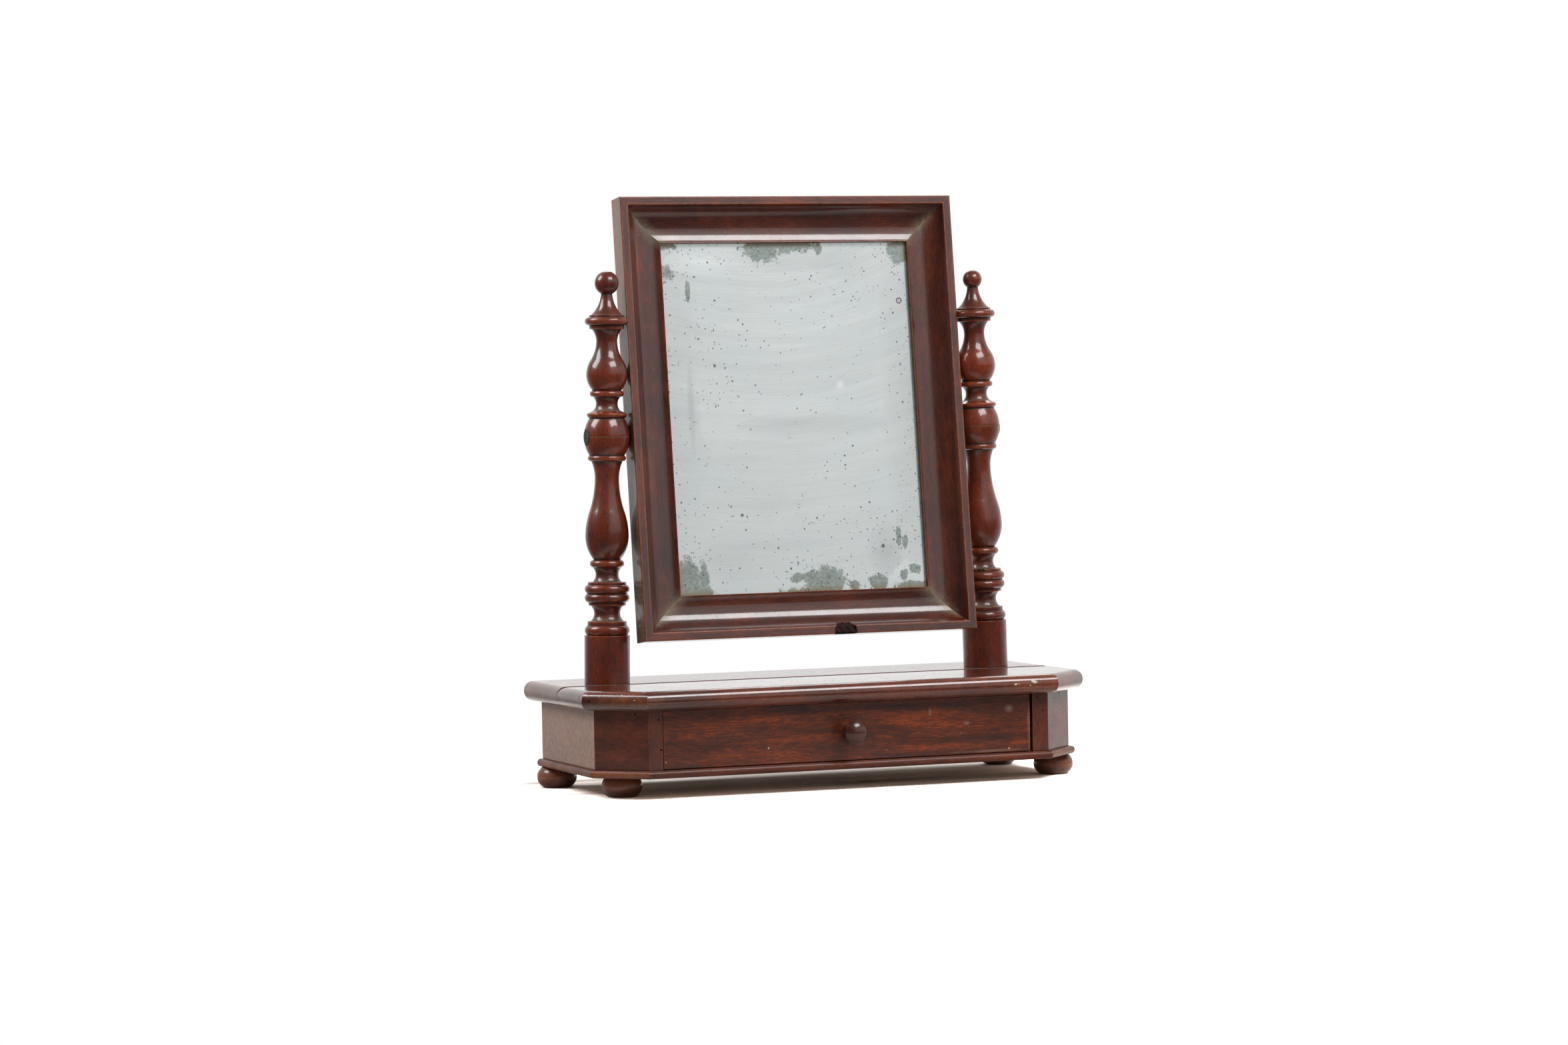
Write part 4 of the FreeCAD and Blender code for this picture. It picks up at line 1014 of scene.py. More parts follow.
def domes(name, rides, slot, places, outs, radii, height, segments=14, rings=4):
    # many small flat domes in one piece that stands for no CAD node: each is a fan of rings of
    # uneven outline, sunk a little into its surface
    points, faces = [], []
    angle = np.arange(segments) * 2 * np.pi / segments
    for place, out, radius in zip(places, outs, radii):
        out = np.array(out, float) / np.linalg.norm(out)
        one = np.cross(out, (0, 0, 1) if abs(out[2]) < 0.9 else (1, 0, 0))
        one /= np.linalg.norm(one)
        two = np.cross(out, one)
        start = len(points)
        wobble = (1 + 0.16 * np.sin(angle * 2 + place[0] * 900)
                  + 0.1 * np.sin(angle * 3 + place[2] * 700))
        for level in np.linspace(0, 1, rings + 1)[:-1]:
            size = radius * wobble * math.sqrt(1 - level**2)
            rise = -0.15 * height + height * 1.15 * level
            points.extend(place + out * rise + np.outer(size * np.cos(angle), one)
                          + np.outer(size * np.sin(angle), two))
        points.append(place + out * height)
        top, last = len(points) - 1, start + (rings - 1) * segments
        grid = gridFaces(rings, segments, closeColumns=True)
        faces += [[start + v for v in face] for face in grid]
        faces += [(last + j, last + (j + 1) % segments, top) for j in range(segments)]
        faces.append([start + j for j in range(segments)][::-1])
    piece = putIn(name, meshOf(name, points, faces, 50, {}))
    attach(piece, rides)
    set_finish(piece, slot)


# Brads that hold the backboard, down both sides and along both ends of it.
brads = {
    "radius": 1.1 * mm,
    "height": 0.5 * mm,
    "inset": 4.5 * mm,
    "back": 26.3 * mm,
    "across": 5,
    "down": 6,
    "stray": 2.5,
}


def backBrads():
    # evenly spaced, then each strays a little, and each head has its own size
    plan = brads
    half, low = plate["half"] * mm - plan["inset"], plate["low"] * mm + plan["inset"]
    high, y = plate["high"] * mm - plan["inset"], plan["back"] - moulding["ahead"]
    xs = np.linspace(-half * 0.86, half * 0.86, plan["across"])
    zs = np.linspace(low + 30 * mm, high - 30 * mm, plan["down"])
    places = np.array([(x, y, z) for z in (low, high) for x in xs]
                      + [(x, y, z) for x in (-half, half) for z in zs])
    count, stray = len(places), plan["stray"]
    places = leaned(places + random.uniform(-stray, stray, (count, 3)) * mm * (1, 0, 1))
    out = leaned(np.array([(0.0, 1.0, 0.0)])) - leaned(np.array([(0.0, 0.0, 0.0)]))
    radii = random.uniform(0.85, 1.15, count) * plan["radius"]
    domes("backboard_brads", "mirror_frame", "iron_screw", places, [out[0]] * count, radii,
          plan["height"])


# Flakes of white paint splashed on the top's nosing, its left corner and the drawer front, each
# with its place and its radius in millimetres.
paintSpots = {
    "nose": [(197.8, 102.6, 1.9), (195.6, 103.2, 1.1), (200.4, 102.2, 1.0), (176.6, 100.7, 1.1),
             (178.2, 101.2, 0.7), (180.4, 100.9, 0.5), (193.2, 99.0, 0.7), (62.0, 104.9, 0.6),
             (-20.5, 103.6, 0.5), (141.0, 105.6, 0.5)],
    "drawer": [(174.5, 34.1, 0.8), (-91.0, 46.5, 0.8), (-201.3, 37.4, 0.6), (121.0, 52.0, 0.4),
               (38.0, 39.0, 0.4)],
    "cant": [(-259.4, -78.6, 106.0, 0.8), (-235.3, -102.6, 101.4, 0.6), (-245.7, -92.3, 106.2, 1.0),
             (-244.0, -94.2, 105.2, 0.5), (-263.0, -75.0, 104.6, 0.4)],
    "thickness": 0.18 * mm,
}


def splashes():
    radius, diagonal = topBoards["noseRadius"], math.sqrt(0.5)
    middle = (basePlan["topFace"] + basePlan["topUnder"]) / 2
    inwards = topBoards["overhang"] - radius
    flat = (basePlan["halfWidth"] - basePlan["cant"] - basePlan["front"]) * diagonal
    flakes = []
    # the height on the nosing gives how far out its round is there
    for spot in paintSpots["nose"] + paintSpots["cant"]:
        *place, z, size = (value * mm for value in spot)
        rise = z - middle
        run = math.sqrt(max(radius**2 - rise**2, 0))
        if len(place) == 1:
            at = (place[0], basePlan["front"] - inwards - run, z)
            out = (0, -run, rise)
        else:
            # each place is moved out along the cant's normal
            across, reach = (place[0] - place[1]) * diagonal, flat + inwards + run
            at = ((across - reach) * diagonal, -(across + reach) * diagonal, z)
            out = (-run * diagonal, -run * diagonal, rise)
        flakes.append((at, out, size))
    domes("paint_flakes_top", "base", "mahogany_top", *zip(*flakes), paintSpots["thickness"], 18, 3)
    flakes = [((x * mm, basePlan["front"], z * mm), (0, -1, 0), size * mm)
              for x, z, size in paintSpots["drawer"]]
    domes("paint_flakes_drawer", "drawer", "mahogany_drawer", *zip(*flakes),
          paintSpots["thickness"], 18, 3)


backBrads()
splashes()
print("screws, brads and paint flakes made")


# Finishes. Each one starts from the real surface; sizes of patterns are in millimetres.
def add(tree, kind, *values, **settings):
    # adds a node and sets it; the values fill its inputs in use, in order, and a setting that
    # starts with a capital fills the input of that name. A value is one number or several, a hex
    # colour, or a link from a socket or from another node's first output in use.
    node = tree.nodes.new("ShaderNode" + kind)
    for key in [key for key in settings if key[0].islower()]:
        setattr(node, key, settings.pop(key))
    fills = list(zip([socket for socket in node.inputs if socket.enabled], values))
    for socket, value in fills + [(node.inputs[key], value) for key, value in settings.items()]:
        if isinstance(value, bpy.types.Node):
            value = next(output for output in value.outputs if output.enabled)
        if isinstance(value, bpy.types.NodeSocket):
            tree.links.new(value, socket)
        else:
            socket.default_value = linear(value) if isinstance(value, str) else value
    return node


def linear(hexColour):
    # an sRGB hex colour as linear light, with alpha
    parts = [int(hexColour[i:i + 2], 16) / 255 for i in (1, 3, 5)]
    return [c / 12.92 if c <= 0.04045 else ((c + 0.055) / 1.055) ** 2.4 for c in parts] + [1.0]


def emptied(owner):
    # clears a material's or a world's own nodes, and gives the way to add new ones
    owner.use_nodes = True
    owner.node_tree.nodes.clear()
    return partial(add, owner.node_tree)


def rampStops(node, stops):
    # gives a colour ramp its own places and hex colours
    ramp = node.color_ramp
    while len(ramp.elements) > 1:
        ramp.elements.remove(ramp.elements[-1])
    ramp.elements[0].position, ramp.elements[0].color = stops[0][0], linear(stops[0][1])
    for position, colour in stops[1:]:
        ramp.elements.new(position).color = linear(colour)
    return node


def streaks(put, way, size, detail=2, roughness=0.5, distortion=0):
    # a noise stretched along the way it is given, this many millimetres long and wide
    long, wide = size
    place = put("Mapping", way, Scale=(1000 / long, 1000 / wide, 1000 / wide))
    return put("TexNoise", place, Scale=1, Detail=detail, Roughness=roughness,
               Distortion=distortion)


def wandering(put, size):
    # a board's grain as it was given, and as it wanders by up to 7 mm over its length
    grain = put("Attribute", attribute_name="grain").outputs["Vector"]
    drift = streaks(put, grain, size).outputs["Color"]
    drift = put("VectorMath", drift, (0.5, 0.5, 0.5), operation="SUBTRACT")
    drift = put("VectorMath", drift, (0, 14 * mm, 14 * mm), operation="MULTIPLY")
    return grain, put("VectorMath", grain, drift, operation="ADD")


# French-polished mahogany, about 150 years old: red-brown heartwood with fine dark pores that
# run with the grain, darkened by dirt and by painted shade in the hollows, rubbed down to orange
# wood at the edges.
# Polish holds what most finishes share. Sizes are long and wide, and a spread is where a pattern
# starts to show and where it is full. Places are in millimetres: holes with their radius, stains
# and rubs across and up with half their width and height.
polish = {
    "contrast": 0.6, "peel": 0.035, "waves": 0.06, "specks": 0.4, "rubbed": 0.5,
    "wanderSize": (160, 45), "waveSize": (34, 14), "poreSize": (6, 0.55), "scuffSize": (5, 8),
    "poreSpread": (0.60, 0.74), "poreShare": 0.55, "stainSpread": (0.47, 0.72),
    "rubSpread": (0.20, 0.62), "dustSpread": (0.08, 0.62), "dustShare": 0.8,
    "scuffSpread": (0.58, 0.70), "speckApart": 8, "speckSpread": (0.05, 0.035), "speckShare": 0.7,
    "pore": "#1f0d09", "soot": "#2b1b19", "grime": "#2a1512", "speck": "#b5a594",
    "pit": "#100906", "bare": "#120b08", "stainTint": "#1f110e", "rubTint": "#a48f7d",
    "stains": [], "rubs": [], "holes": []}
mahogany = {
    "mahogany_top": {
        "dark": "#2f0f07", "mid": "#5c2411", "light": "#83401e", "worn": "#94562f",
        "dust": "#8f8578", "ribbon": (110, 14), "streak": (12, 0.8), "figure": 0.45,
        "contrast": 0.7, "roughness": 0.34, "coat": 1.0, "coatRoughness": 0.08, "stain": 0.5,
        "waves": 0.07, "specks": 0.6, "scuffs": 0.85, "rubbed": 0.6,
        "holes": [(-270.9, -67.0, 99.9, 1.3)]},
    "mahogany_panels": {
        "dark": "#2f120a", "mid": "#552413", "light": "#78381c", "worn": "#96522a",
        # the pale pink dust is partly a painted sheen on the left side panel
        "dust": "#a48c7e", "ribbon": (90, 16), "streak": (11, 0.8), "figure": 0.40,
        "roughness": 0.46, "coat": 0.85, "coatRoughness": 0.22, "stain": 0.65, "scuffs": 0.4},
    "mahogany_drawer": {
        "dark": "#2a0e05", "mid": "#501e08", "light": "#8f3c11", "worn": "#8a5a3c",
        "dust": "#8b8070", "ribbon": (120, 11), "streak": (13, 0.8), "figure": 0.50,
        "contrast": 0.8, "roughness": 0.42, "coat": 0.65, "coatRoughness": 0.24, "stain": 0.6,
        "waves": 0.05, "scuffs": 0.3,
        "stains": [(-40, 84, 90, 4), (40, 66, 14, 12), (-84, 87, 12, 5), (-114, 80, 10, 7),
                   (-71, 78, 14, 5), (-16, 60.5, 20, 14), (-193, 60, 8, 16), (60, 84, 60, 4),
                   (120, 80, 30, 6), (-150, 85, 30, 4)],
        "rubs": [(86.7, 75.6, 2.0, 7), (175.4, 75.5, 6, 5), (198, 58, 3, 26), (150, 32.5, 40, 1.6),
                 (128, 62, 5, 3)]},
    "mahogany_moulding": {
        "dark": "#2c0f07", "mid": "#5a240f", "light": "#7c3916", "worn": "#93592f",
        "dust": "#7f7353", "ribbon": (90, 8), "streak": (12, 0.8), "figure": 0.45,
        "roughness": 0.48, "coat": 0.26, "coatRoughness": 0.20, "stain": 0.4, "specks": 0.6,
        "scuffs": 0.5, "holes": [(-216.5, -104.3, 25.2, 1.1)]},
    "mahogany_turned": {
        "dark": "#320c02", "mid": "#642107", "light": "#8f3a0f", "worn": "#a8592c",
        "dust": "#746b59", "ribbon": (80, 22), "streak": (11, 0.8), "figure": 0.25,
        "contrast": 0.55, "roughness": 0.42, "coat": 0.75, "coatRoughness": 0.13, "stain": 0.65,
        "peel": 0.07, "waves": 0.05, "scuffs": 0.3,
        "holes": [(218.0, 23.7, 279.6, 1.3), (198.4, 25.7, 213.2, 2.6), (203.0, 24.6, 213.0, 1.8)]},
    "mahogany_frame": {
        "dark": "#2a0e08", "mid": "#531f10", "light": "#7c3719", "worn": "#9a5029",
        "dust": "#968c74", "ribbon": (120, 16), "streak": (13, 0.9), "figure": 0.45,
        "roughness": 0.38, "coat": 1.0, "coatRoughness": 0.105, "stain": 0.6, "peel": 0.045,
        "specks": 0.45, "scuffs": 0.35, "rubbed": 0.55},
}
# How the polish has aged, each as size, detail, roughness and distortion: stains and smoke in
# clouds, mottling by blots, tone in patches a hand wide, rubbed edges, dust, and uneven gloss.
ageing = [(42, 5, 0.62, 0.4), (2.2, 3, 0.7, 0), (80, 3, 0.55, 0.5), (7, 4, 0.7, 0), (5, 5, 0.7, 0),
          (26, 4, 0.6, 0)]


def polishedMahogany(put, look):
    wearMark, dustMark, chipAndShadeMark, grimeAndShadeMark = [
        put("Attribute", attribute_name=mark).outputs["Fac"]
        for mark in ("wear", "dust", "chip", "grime")]
    place = put("TexCoord").outputs["Object"]
    smoke, mottle, tone, rubbing, dusting, gloss = [
        put("TexNoise", place, Scale=1000 / size, Detail=detail, Roughness=rough, Distortion=bend)
        for size, detail, rough, bend in ageing]
    # ribbons of lighter and darker wood, and fine streaks within them
    grain, bent = wandering(put, look["wanderSize"])
    ribbon = streaks(put, bent, look["ribbon"], 3, 0.55, 0.3)
    streak = streaks(put, bent, look["streak"], 4, 0.65)
    contrast, share = look["contrast"], look["figure"]
    figure = put("Math", streak, contrast * 0.8, 0.5 - contrast * 0.4, operation="MULTIPLY_ADD")
    figure = put("Math", ribbon, share, figure, operation="MULTIPLY_ADD")
    figure = put("Math", figure, share / 2, operation="SUBTRACT")
    colour = rampStops(put("ValToRGB", figure),
                       [(0.33, look["dark"]), (0.5, look["mid"]), (0.67, look["light"])])
    # pores: dark dashes about 5 mm long, drawn 0.5 mm wide so that they show
    pores = put("MapRange", streaks(put, bent, look["poreSize"], 1), *look["poreSpread"])
    pores = put("Math", pores, look["poreShare"], operation="MULTIPLY")
    stain = put("MapRange", smoke, *look["stainSpread"], 0, look["stain"])
    # the grime mark is dirt, and also painted shade in hollows and on the frame's lip
    for share, tint in ((pores, "pore"), (stain, "soot"), (grimeAndShadeMark, "grime")):
        colour = put("Mix", share, colour, look[tint], data_type="RGBA")
    # mottled in small blots, and darkened unevenly in patches
    for cloud, low, high, darkest, palest in ((mottle, 0.3, 0.7, 0.78, 1.22),
                                              (tone, 0.32, 0.68, 0.72, 1.3)):
        shade = put("MapRange", cloud, low, high, darkest, palest)
        colour = put("VectorMath", colour, shade, operation="SCALE")
    # stains and rubs in their own places: how far each is from its middle, across and up
    for spots, tint in ((look["stains"], look["stainTint"]), (look["rubs"], look["rubTint"])):
        for x, z, wide, high in spots:
            away = put("VectorMath", place, (x * mm, 0, z * mm), operation="SUBTRACT")
            away = put("VectorMath", away, (1000 / wide, 0, 1000 / high), operation="MULTIPLY")
            away = put("VectorMath", away, operation="LENGTH")
            near = put("Math", smoke, 2.2, -0.6, operation="MULTIPLY_ADD")
            near = put("Math", near, away, operation="SUBTRACT")
            near = put("MapRange", near, -0.6, 0.9, 0, 0.55)
            colour = put("Mix", near, colour, tint, data_type="RGBA")
    # edges are rubbed in a broken line, and grey dust is packed in the hollows
    rub = put("Math", wearMark, rubbing, operation="MULTIPLY")
    worn = put("MapRange", rub, *look["rubSpread"], 0, look["rubbed"])
    dusty = put("Math", dustMark, dusting, operation="MULTIPLY")
    dust = put("MapRange", dusty, *look["dustSpread"], 0, look["dustShare"])
    # pale specks of splashed wax and paint, under a millimetre across
    cells = put("TexVoronoi", place, Scale=1000 / look["speckApart"], feature="F1")
    chosen = put("SeparateColor", cells.outputs["Color"])
    chance = put("Math", chosen, 1 - look["specks"] * 0.35, operation="GREATER_THAN")
    dots = put("MapRange", cells, *look["speckSpread"])
    speck = put("Math", chance, dots, operation="MULTIPLY")
    speckShare = put("Math", speck, look["speckShare"], operation="MULTIPLY")
    for share, tint in ((worn, "worn"), (dust, "dust"), (speckShare, "speck")):
        colour = put("Mix", share, colour, look[tint], data_type="RGBA")
    # worm holes and notches in their own places, with uneven edges, painted dark as the shade inside
    # them
    for x, y, z, radius in look["holes"]:
        away = put("VectorMath", place, (x * mm, y * mm, z * mm), operation="DISTANCE")
        reach = put("Math", rubbing, radius * 0.8 * mm, radius * 0.6 * mm,
                    operation="MULTIPLY_ADD")
        hole = put("Math", away, reach, operation="LESS_THAN")
        colour = put("Mix", hole, colour, look["pit"], data_type="RGBA")
    # the chip mark goes near black: chips, and painted shade in creases and in the walls of holes
    colour = put("Mix", chipAndShadeMark, colour, look["bare"], data_type="RGBA")
    # dust, scuffs, chips and the painted-shade creases and holes are dull, and the polish is uneven
    rough = put("MapRange", gloss, 0.3, 0.7, look["roughness"] - 0.07, look["roughness"] + 0.10)
    scuff = streaks(put, grain, look["scuffSize"], 7, 0.78)
    scuff = put("MapRange", scuff, *look["scuffSpread"], 0, look["scuffs"])
    dull = put("Math", dust, chipAndShadeMark, operation="MAXIMUM")
    dull = put("Math", dull, scuff, operation="MAXIMUM")
    rough = put("Math", dull, 0.5, rough, operation="MULTIPLY_ADD", use_clamp=True)
    uncoated = put("Math", dull, speck, operation="MAXIMUM")
    coat = put("Math", uncoated, -look["coat"], look["coat"], operation="MULTIPLY_ADD",
               use_clamp=True)
    # the polish follows the hand-planed surface in slow waves, and sinks a little at the pores
    waves = put("Bump", Height=streaks(put, grain, look["waveSize"]), Strength=1,
                Distance=look["waves"] * mm)
    grit = put("Math", streak, 0.5, pores, operation="MULTIPLY_ADD")
    grit = put("Math", dusty, grit, operation="SUBTRACT")
    fine = put("Bump", Height=grit, Strength=0.6, Distance=0.05 * mm, Normal=waves)
    peel = put("Bump", Height=mottle, Strength=0.5, Distance=look["peel"] * mm, Normal=waves)
    return {"Base Color": colour, "Roughness": rough, "Normal": fine, "Coat Normal": peel,
            "IOR": 1.5, "Specular IOR Level": 0.3, "Coat Weight": coat,
            "Coat Roughness": look["coatRoughness"]}


# Bare pine, sawn and planed by hand: yellow-brown with darker summer wood every few millimetres,
# greyed by dirt where it has been handled. Sawn holds what both kinds share, sizes long and wide.
sawn = {"wanderSize": (220, 60), "ringSize": (500, 5), "fibreSize": (30, 0.9),
        "sawSize": (3.2, 60), "grimeSize": 55, "rub": "#c49a6a", "rubShare": 0.45,
        "pit": "#1a120c"}
pine = {
    "pine_inside": {"pale": "#a98a63", "line": "#8a6642", "dirt": "#4d3a2a", "grime": 0.45},
    "pine_backboard": {"pale": "#876c50", "line": "#6c5038", "dirt": "#3a2c22", "grime": 0.6},
}


def barePine(put, look):
    wearMark, chipAndShadeMark = [put("Attribute", attribute_name=mark).outputs["Fac"]
                          for mark in ("wear", "chip")]
    grain, bent = wandering(put, look["wanderSize"])
    rings = streaks(put, bent, look["ringSize"], 3)
    fibre = streaks(put, bent, look["fibreSize"], 3)
    both = put("Math", fibre, 0.35, rings, operation="MULTIPLY_ADD")
    colour = rampStops(put("ValToRGB", both),
                       [(0.50, look["pale"]), (0.80, look["line"]), (1.0, look["dirt"])])
    cloud = put("TexNoise", put("TexCoord").outputs["Object"], Scale=1000 / look["grimeSize"],
                Detail=5, Roughness=0.65)
    grime = put("MapRange", cloud, 0.4, 0.7, 0, look["grime"])
    rub = put("Math", wearMark, look["rubShare"], operation="MULTIPLY")
    # the chip mark paints the walls of holes dark as shade
    for share, tint in ((grime, "dirt"), (rub, "rub"), (chipAndShadeMark, "pit")):
        colour = put("Mix", share, colour, look[tint], data_type="RGBA")
    # saw marks across the board, about 3 mm apart, and the raised fibres
    relief = put("Math", streaks(put, grain, look["sawSize"], 1), both, operation="ADD")
    return {"Base Color": colour, "Roughness": put("MapRange", fibre, 0, 1, 0.62, 0.85),
            "Normal": put("Bump", Height=relief, Strength=0.7, Distance=0.12 * mm), "IOR": 1.5}


# Old plate glass silvered with tin and mercury: a slightly dull grey mirror under a haze of
# dirt wiped in arcs, with dark specks, and grey-green patches where the silver has gone. The
# specks come in two sizes: how far apart, their reach, what a cluster adds to their chance, and
# the chance to pass. The cloth's strokes come in two too: how fine and how long, their detail and
# roughness. Coarse, fine and sweep are the sizes of the clouds, and loss is where silver ends.
silvering = {
    "metal": "#d2dada",
    "haze": "#d6dbda",
    "lost": "#99a5a0",
    "deep": "#6f7a76",
    "brown": "#857a60",
    "speck": "#454c4a",
    "hazeShare": 0.45,
    "specks": ((5.0, 0.24, 0.24, 0.915), (2.3, 0.38, 0.30, 0.94)),
    "speckShare": 0.85,
    "strokes": ((1.6, 45, 4, 0.7), (14, 110, 2, 0.5)),
    "coarse": 11,
    "fine": 3.2,
    "sweep": 85,
    "loss": (1.36, 1.43),
    "jitter": 2.2 * mm,
}


def silveredGlass(put, look):
    sheet = put("Attribute", attribute_name="sheet").outputs["Vector"]
    wipe = put("Attribute", attribute_name="wipe").outputs["Vector"]
    lostMark, edgeMark, clusters, toneAndPaintedLightMark = [
        put("Attribute", attribute_name=mark).outputs["Fac"]
        for mark in ("lost", "edge", "speckled", "tone")]
    # silver loss: each patch's falling edge is broken up by a coarse and a fine noise into the
    # fern-like fingers and islands that damp leaves behind old glass
    coarse = put("TexNoise", sheet, Scale=1000 / look["coarse"], Detail=8, Roughness=0.78,
                 Distortion=0.3)
    fine = put("TexNoise", sheet, Scale=1000 / look["fine"], Detail=5, Roughness=0.75)
    field = put("Math", coarse, 1.25, lostMark, operation="MULTIPLY_ADD")
    field = put("Math", fine, 0.5, field, operation="MULTIPLY_ADD")
    lost = put("MapRange", field, *look["loss"])
    # specks: cells of uneven outline, thicker in the clusters and towards the edges
    jitter = put("VectorMath", fine.outputs["Color"], (0.5, 0.5, 0.5), operation="SUBTRACT")
    jitter = put("VectorMath", jitter, look["jitter"], operation="SCALE")
    uneven = put("VectorMath", sheet, jitter, operation="ADD")
    bias = put("Math", edgeMark, 0.5, clusters, operation="MULTIPLY_ADD")
    bias = put("Math", lostMark, 0.9, bias, operation="MULTIPLY_ADD")
    dots = []
    for apart, reach, share, most in look["specks"]:
        cells = put("TexVoronoi", uneven, Scale=1000 / apart, feature="F1")
        chosen = put("SeparateColor", cells.outputs["Color"])
        chance = put("Math", bias, share, chosen, operation="MULTIPLY_ADD")
        chance = put("Math", chance, most, operation="GREATER_THAN")
        size = put("Math", chosen.outputs[1], reach, operation="MULTIPLY")
        near = put("Math", cells, size, operation="LESS_THAN")
        dots.append(put("Math", chance, near, operation="MULTIPLY"))
    # the larger spots, each in its own place, with uneven edges
    level = put("VectorMath", sheet, (1, 1, 0), operation="MULTIPLY")
    for x, z, radius in plate["spots"]:
        apart = put("VectorMath", level, (x * mm, z * mm, 0), operation="DISTANCE")
        reach = put("Math", fine, radius * 1.6 * mm, radius * 0.2 * mm, operation="MULTIPLY_ADD")
        dots.append(put("Math", apart, reach, operation="LESS_THAN"))
    # one spot has spread into a ring
    x, z, radius = plate["ring"]
    apart = put("VectorMath", level, (x * mm, z * mm, 0), operation="DISTANCE")
    ring = put("Math", apart, radius * mm, 0.75 * mm, operation="COMPARE")
    core = put("Math", apart, 0.7 * mm, operation="LESS_THAN")
    dots.append(put("Math", ring, core, operation="MAXIMUM"))
    speck = dots[0]
    for dot in dots[1:]:
        speck = put("Math", speck, dot, operation="MAXIMUM")
    # wiping marks: fine arcs, as a cloth leaves them, stronger in some broad clouds than others
    arcs, broad = [
        put("TexNoise", put("Mapping", wipe, Scale=(1000 / fineness, 1000 / long, 1)), Scale=1,
            Detail=detail, Roughness=rough)
        for fineness, long, detail, rough in look["strokes"]]
    sweep = put("TexNoise", sheet, Scale=1000 / look["sweep"], Detail=4, Roughness=0.6,
                Distortion=1.2)
    strokes = put("Math", arcs, broad, operation="ADD")
    wiped = put("Math", strokes, 0.5, operation="MULTIPLY")
    haze = look["hazeShare"]
    hazeShare = put("MapRange", wiped, 0.35, 0.65, haze - 0.05, haze + 0.06)
    tone = put("MapRange", sweep, 0.35, 0.7)
    colour = put("Mix", tone, look["metal"], look["haze"], data_type="RGBA")
    # broad clouds, paler or darker, where the haze lies thick or was wiped thin, and painted shade
    # and reflection from the tones, darker down the left and right edges
    cloudy = put("Math", sweep, 0.18, toneAndPaintedLightMark, operation="MULTIPLY_ADD")
    cloudy = put("Math", strokes, 1, cloudy, operation="MULTIPLY_ADD")
    shade = put("MapRange", cloudy, 0.1, 2.1, 0.75, 1.10)
    colour = put("VectorMath", colour, shade, operation="SCALE")
    bare = put("Mix", put("MapRange", fine, 0.35, 0.65), look["deep"], look["lost"],
               data_type="RGBA")
    bare = put("Mix", put("MapRange", edgeMark, 0.45, 0.95), bare, look["brown"],
               data_type="RGBA")
    speckShare = put("Math", speck, look["speckShare"], operation="MULTIPLY")
    for share, tint in ((lost, bare), (speckShare, look["speck"])):
        colour = put("Mix", share, colour, tint, data_type="RGBA")
    # the haze scatters light, and where the silver has gone nothing mirrors
    dull = put("Math", lost, speck, operation="MAXIMUM")
    scatter = put("Math", hazeShare, dull, operation="MAXIMUM")
    return {"Base Color": colour, "Metallic": put("Math", 1, scatter, operation="SUBTRACT"),
            "Roughness": put("MapRange", wiped, 0.3, 0.7, 0.08, 0.22), "Coat Weight": 0.25,
            "Coat Roughness": 0.04}


# Wrought iron, filed and left to brown: dull, with rust and dirt in clouds of this size.
iron = {
    "cloud": 3,
    "dirt": "#2a2620",
    "filed": "#4d473c",
    "rust": "#6b5a45",
}


def darkIron(put, look):
    place = put("TexCoord").outputs["Object"]
    cloud = put("TexNoise", place, Scale=1000 / look["cloud"], Detail=5, Roughness=0.7)
    colour = rampStops(put("ValToRGB", cloud),
                       [(0.35, look["dirt"]), (0.55, look["filed"]), (0.75, look["rust"])])
    return {"Base Color": colour,
            "Metallic": put("MapRange", cloud, 0.4, 0.6, 0.85, 0.35),
            "Roughness": put("MapRange", cloud, 0, 1, 0.38, 0.75),
            "Normal": put("Bump", Height=cloud, Strength=0.6, Distance=0.08 * mm)}


# Splashes of white oil paint, dry and slightly yellowed in clouds of this size.
paint = {
    "cloud": 1.5,
    "white": "#d8d2c6",
    "yellowed": "#b3a896",
}


def oldPaint(put, look):
    place = put("TexCoord").outputs["Object"]
    cloud = put("TexNoise", place, Scale=1000 / look["cloud"], Detail=3)
    colour = put("Mix", cloud, look["white"], look["yellowed"], data_type="RGBA")
    return {"Base Color": colour, "Roughness": 0.55,
            "Normal": put("Bump", Height=cloud, Strength=0.5, Distance=0.05 * mm)}


kinds = [(name, polishedMahogany, {**polish, **look}) for name, look in mahogany.items()]
kinds += [(name, barePine, {**sawn, **look}) for name, look in pine.items()]
kinds += [("silvered_glass", silveredGlass, silvering), ("iron_screw", darkIron, iron),
          ("white_oil_paint", oldPaint, paint)]
finishes = {}
for name, kind, look in kinds:
    finishes[name] = bpy.data.materials.new(name)
    put = emptied(finishes[name])
    put("OutputMaterial", put("BsdfPrincipled", **kind(put, look)))
for piece in scene.objects:
    if piece.type == "MESH" and "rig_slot" in piece:
        flake = piece.name.startswith("paint_flakes")
        piece.data.materials.clear()
        piece.data.materials.append(finishes["white_oil_paint" if flake else piece["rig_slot"]])
for node, piece in nodes.items():
    if not piece.hide_render:
        piece.data.materials.clear()
        piece.data.materials.append(finishes[slotOf[node]])
print("finishes given")


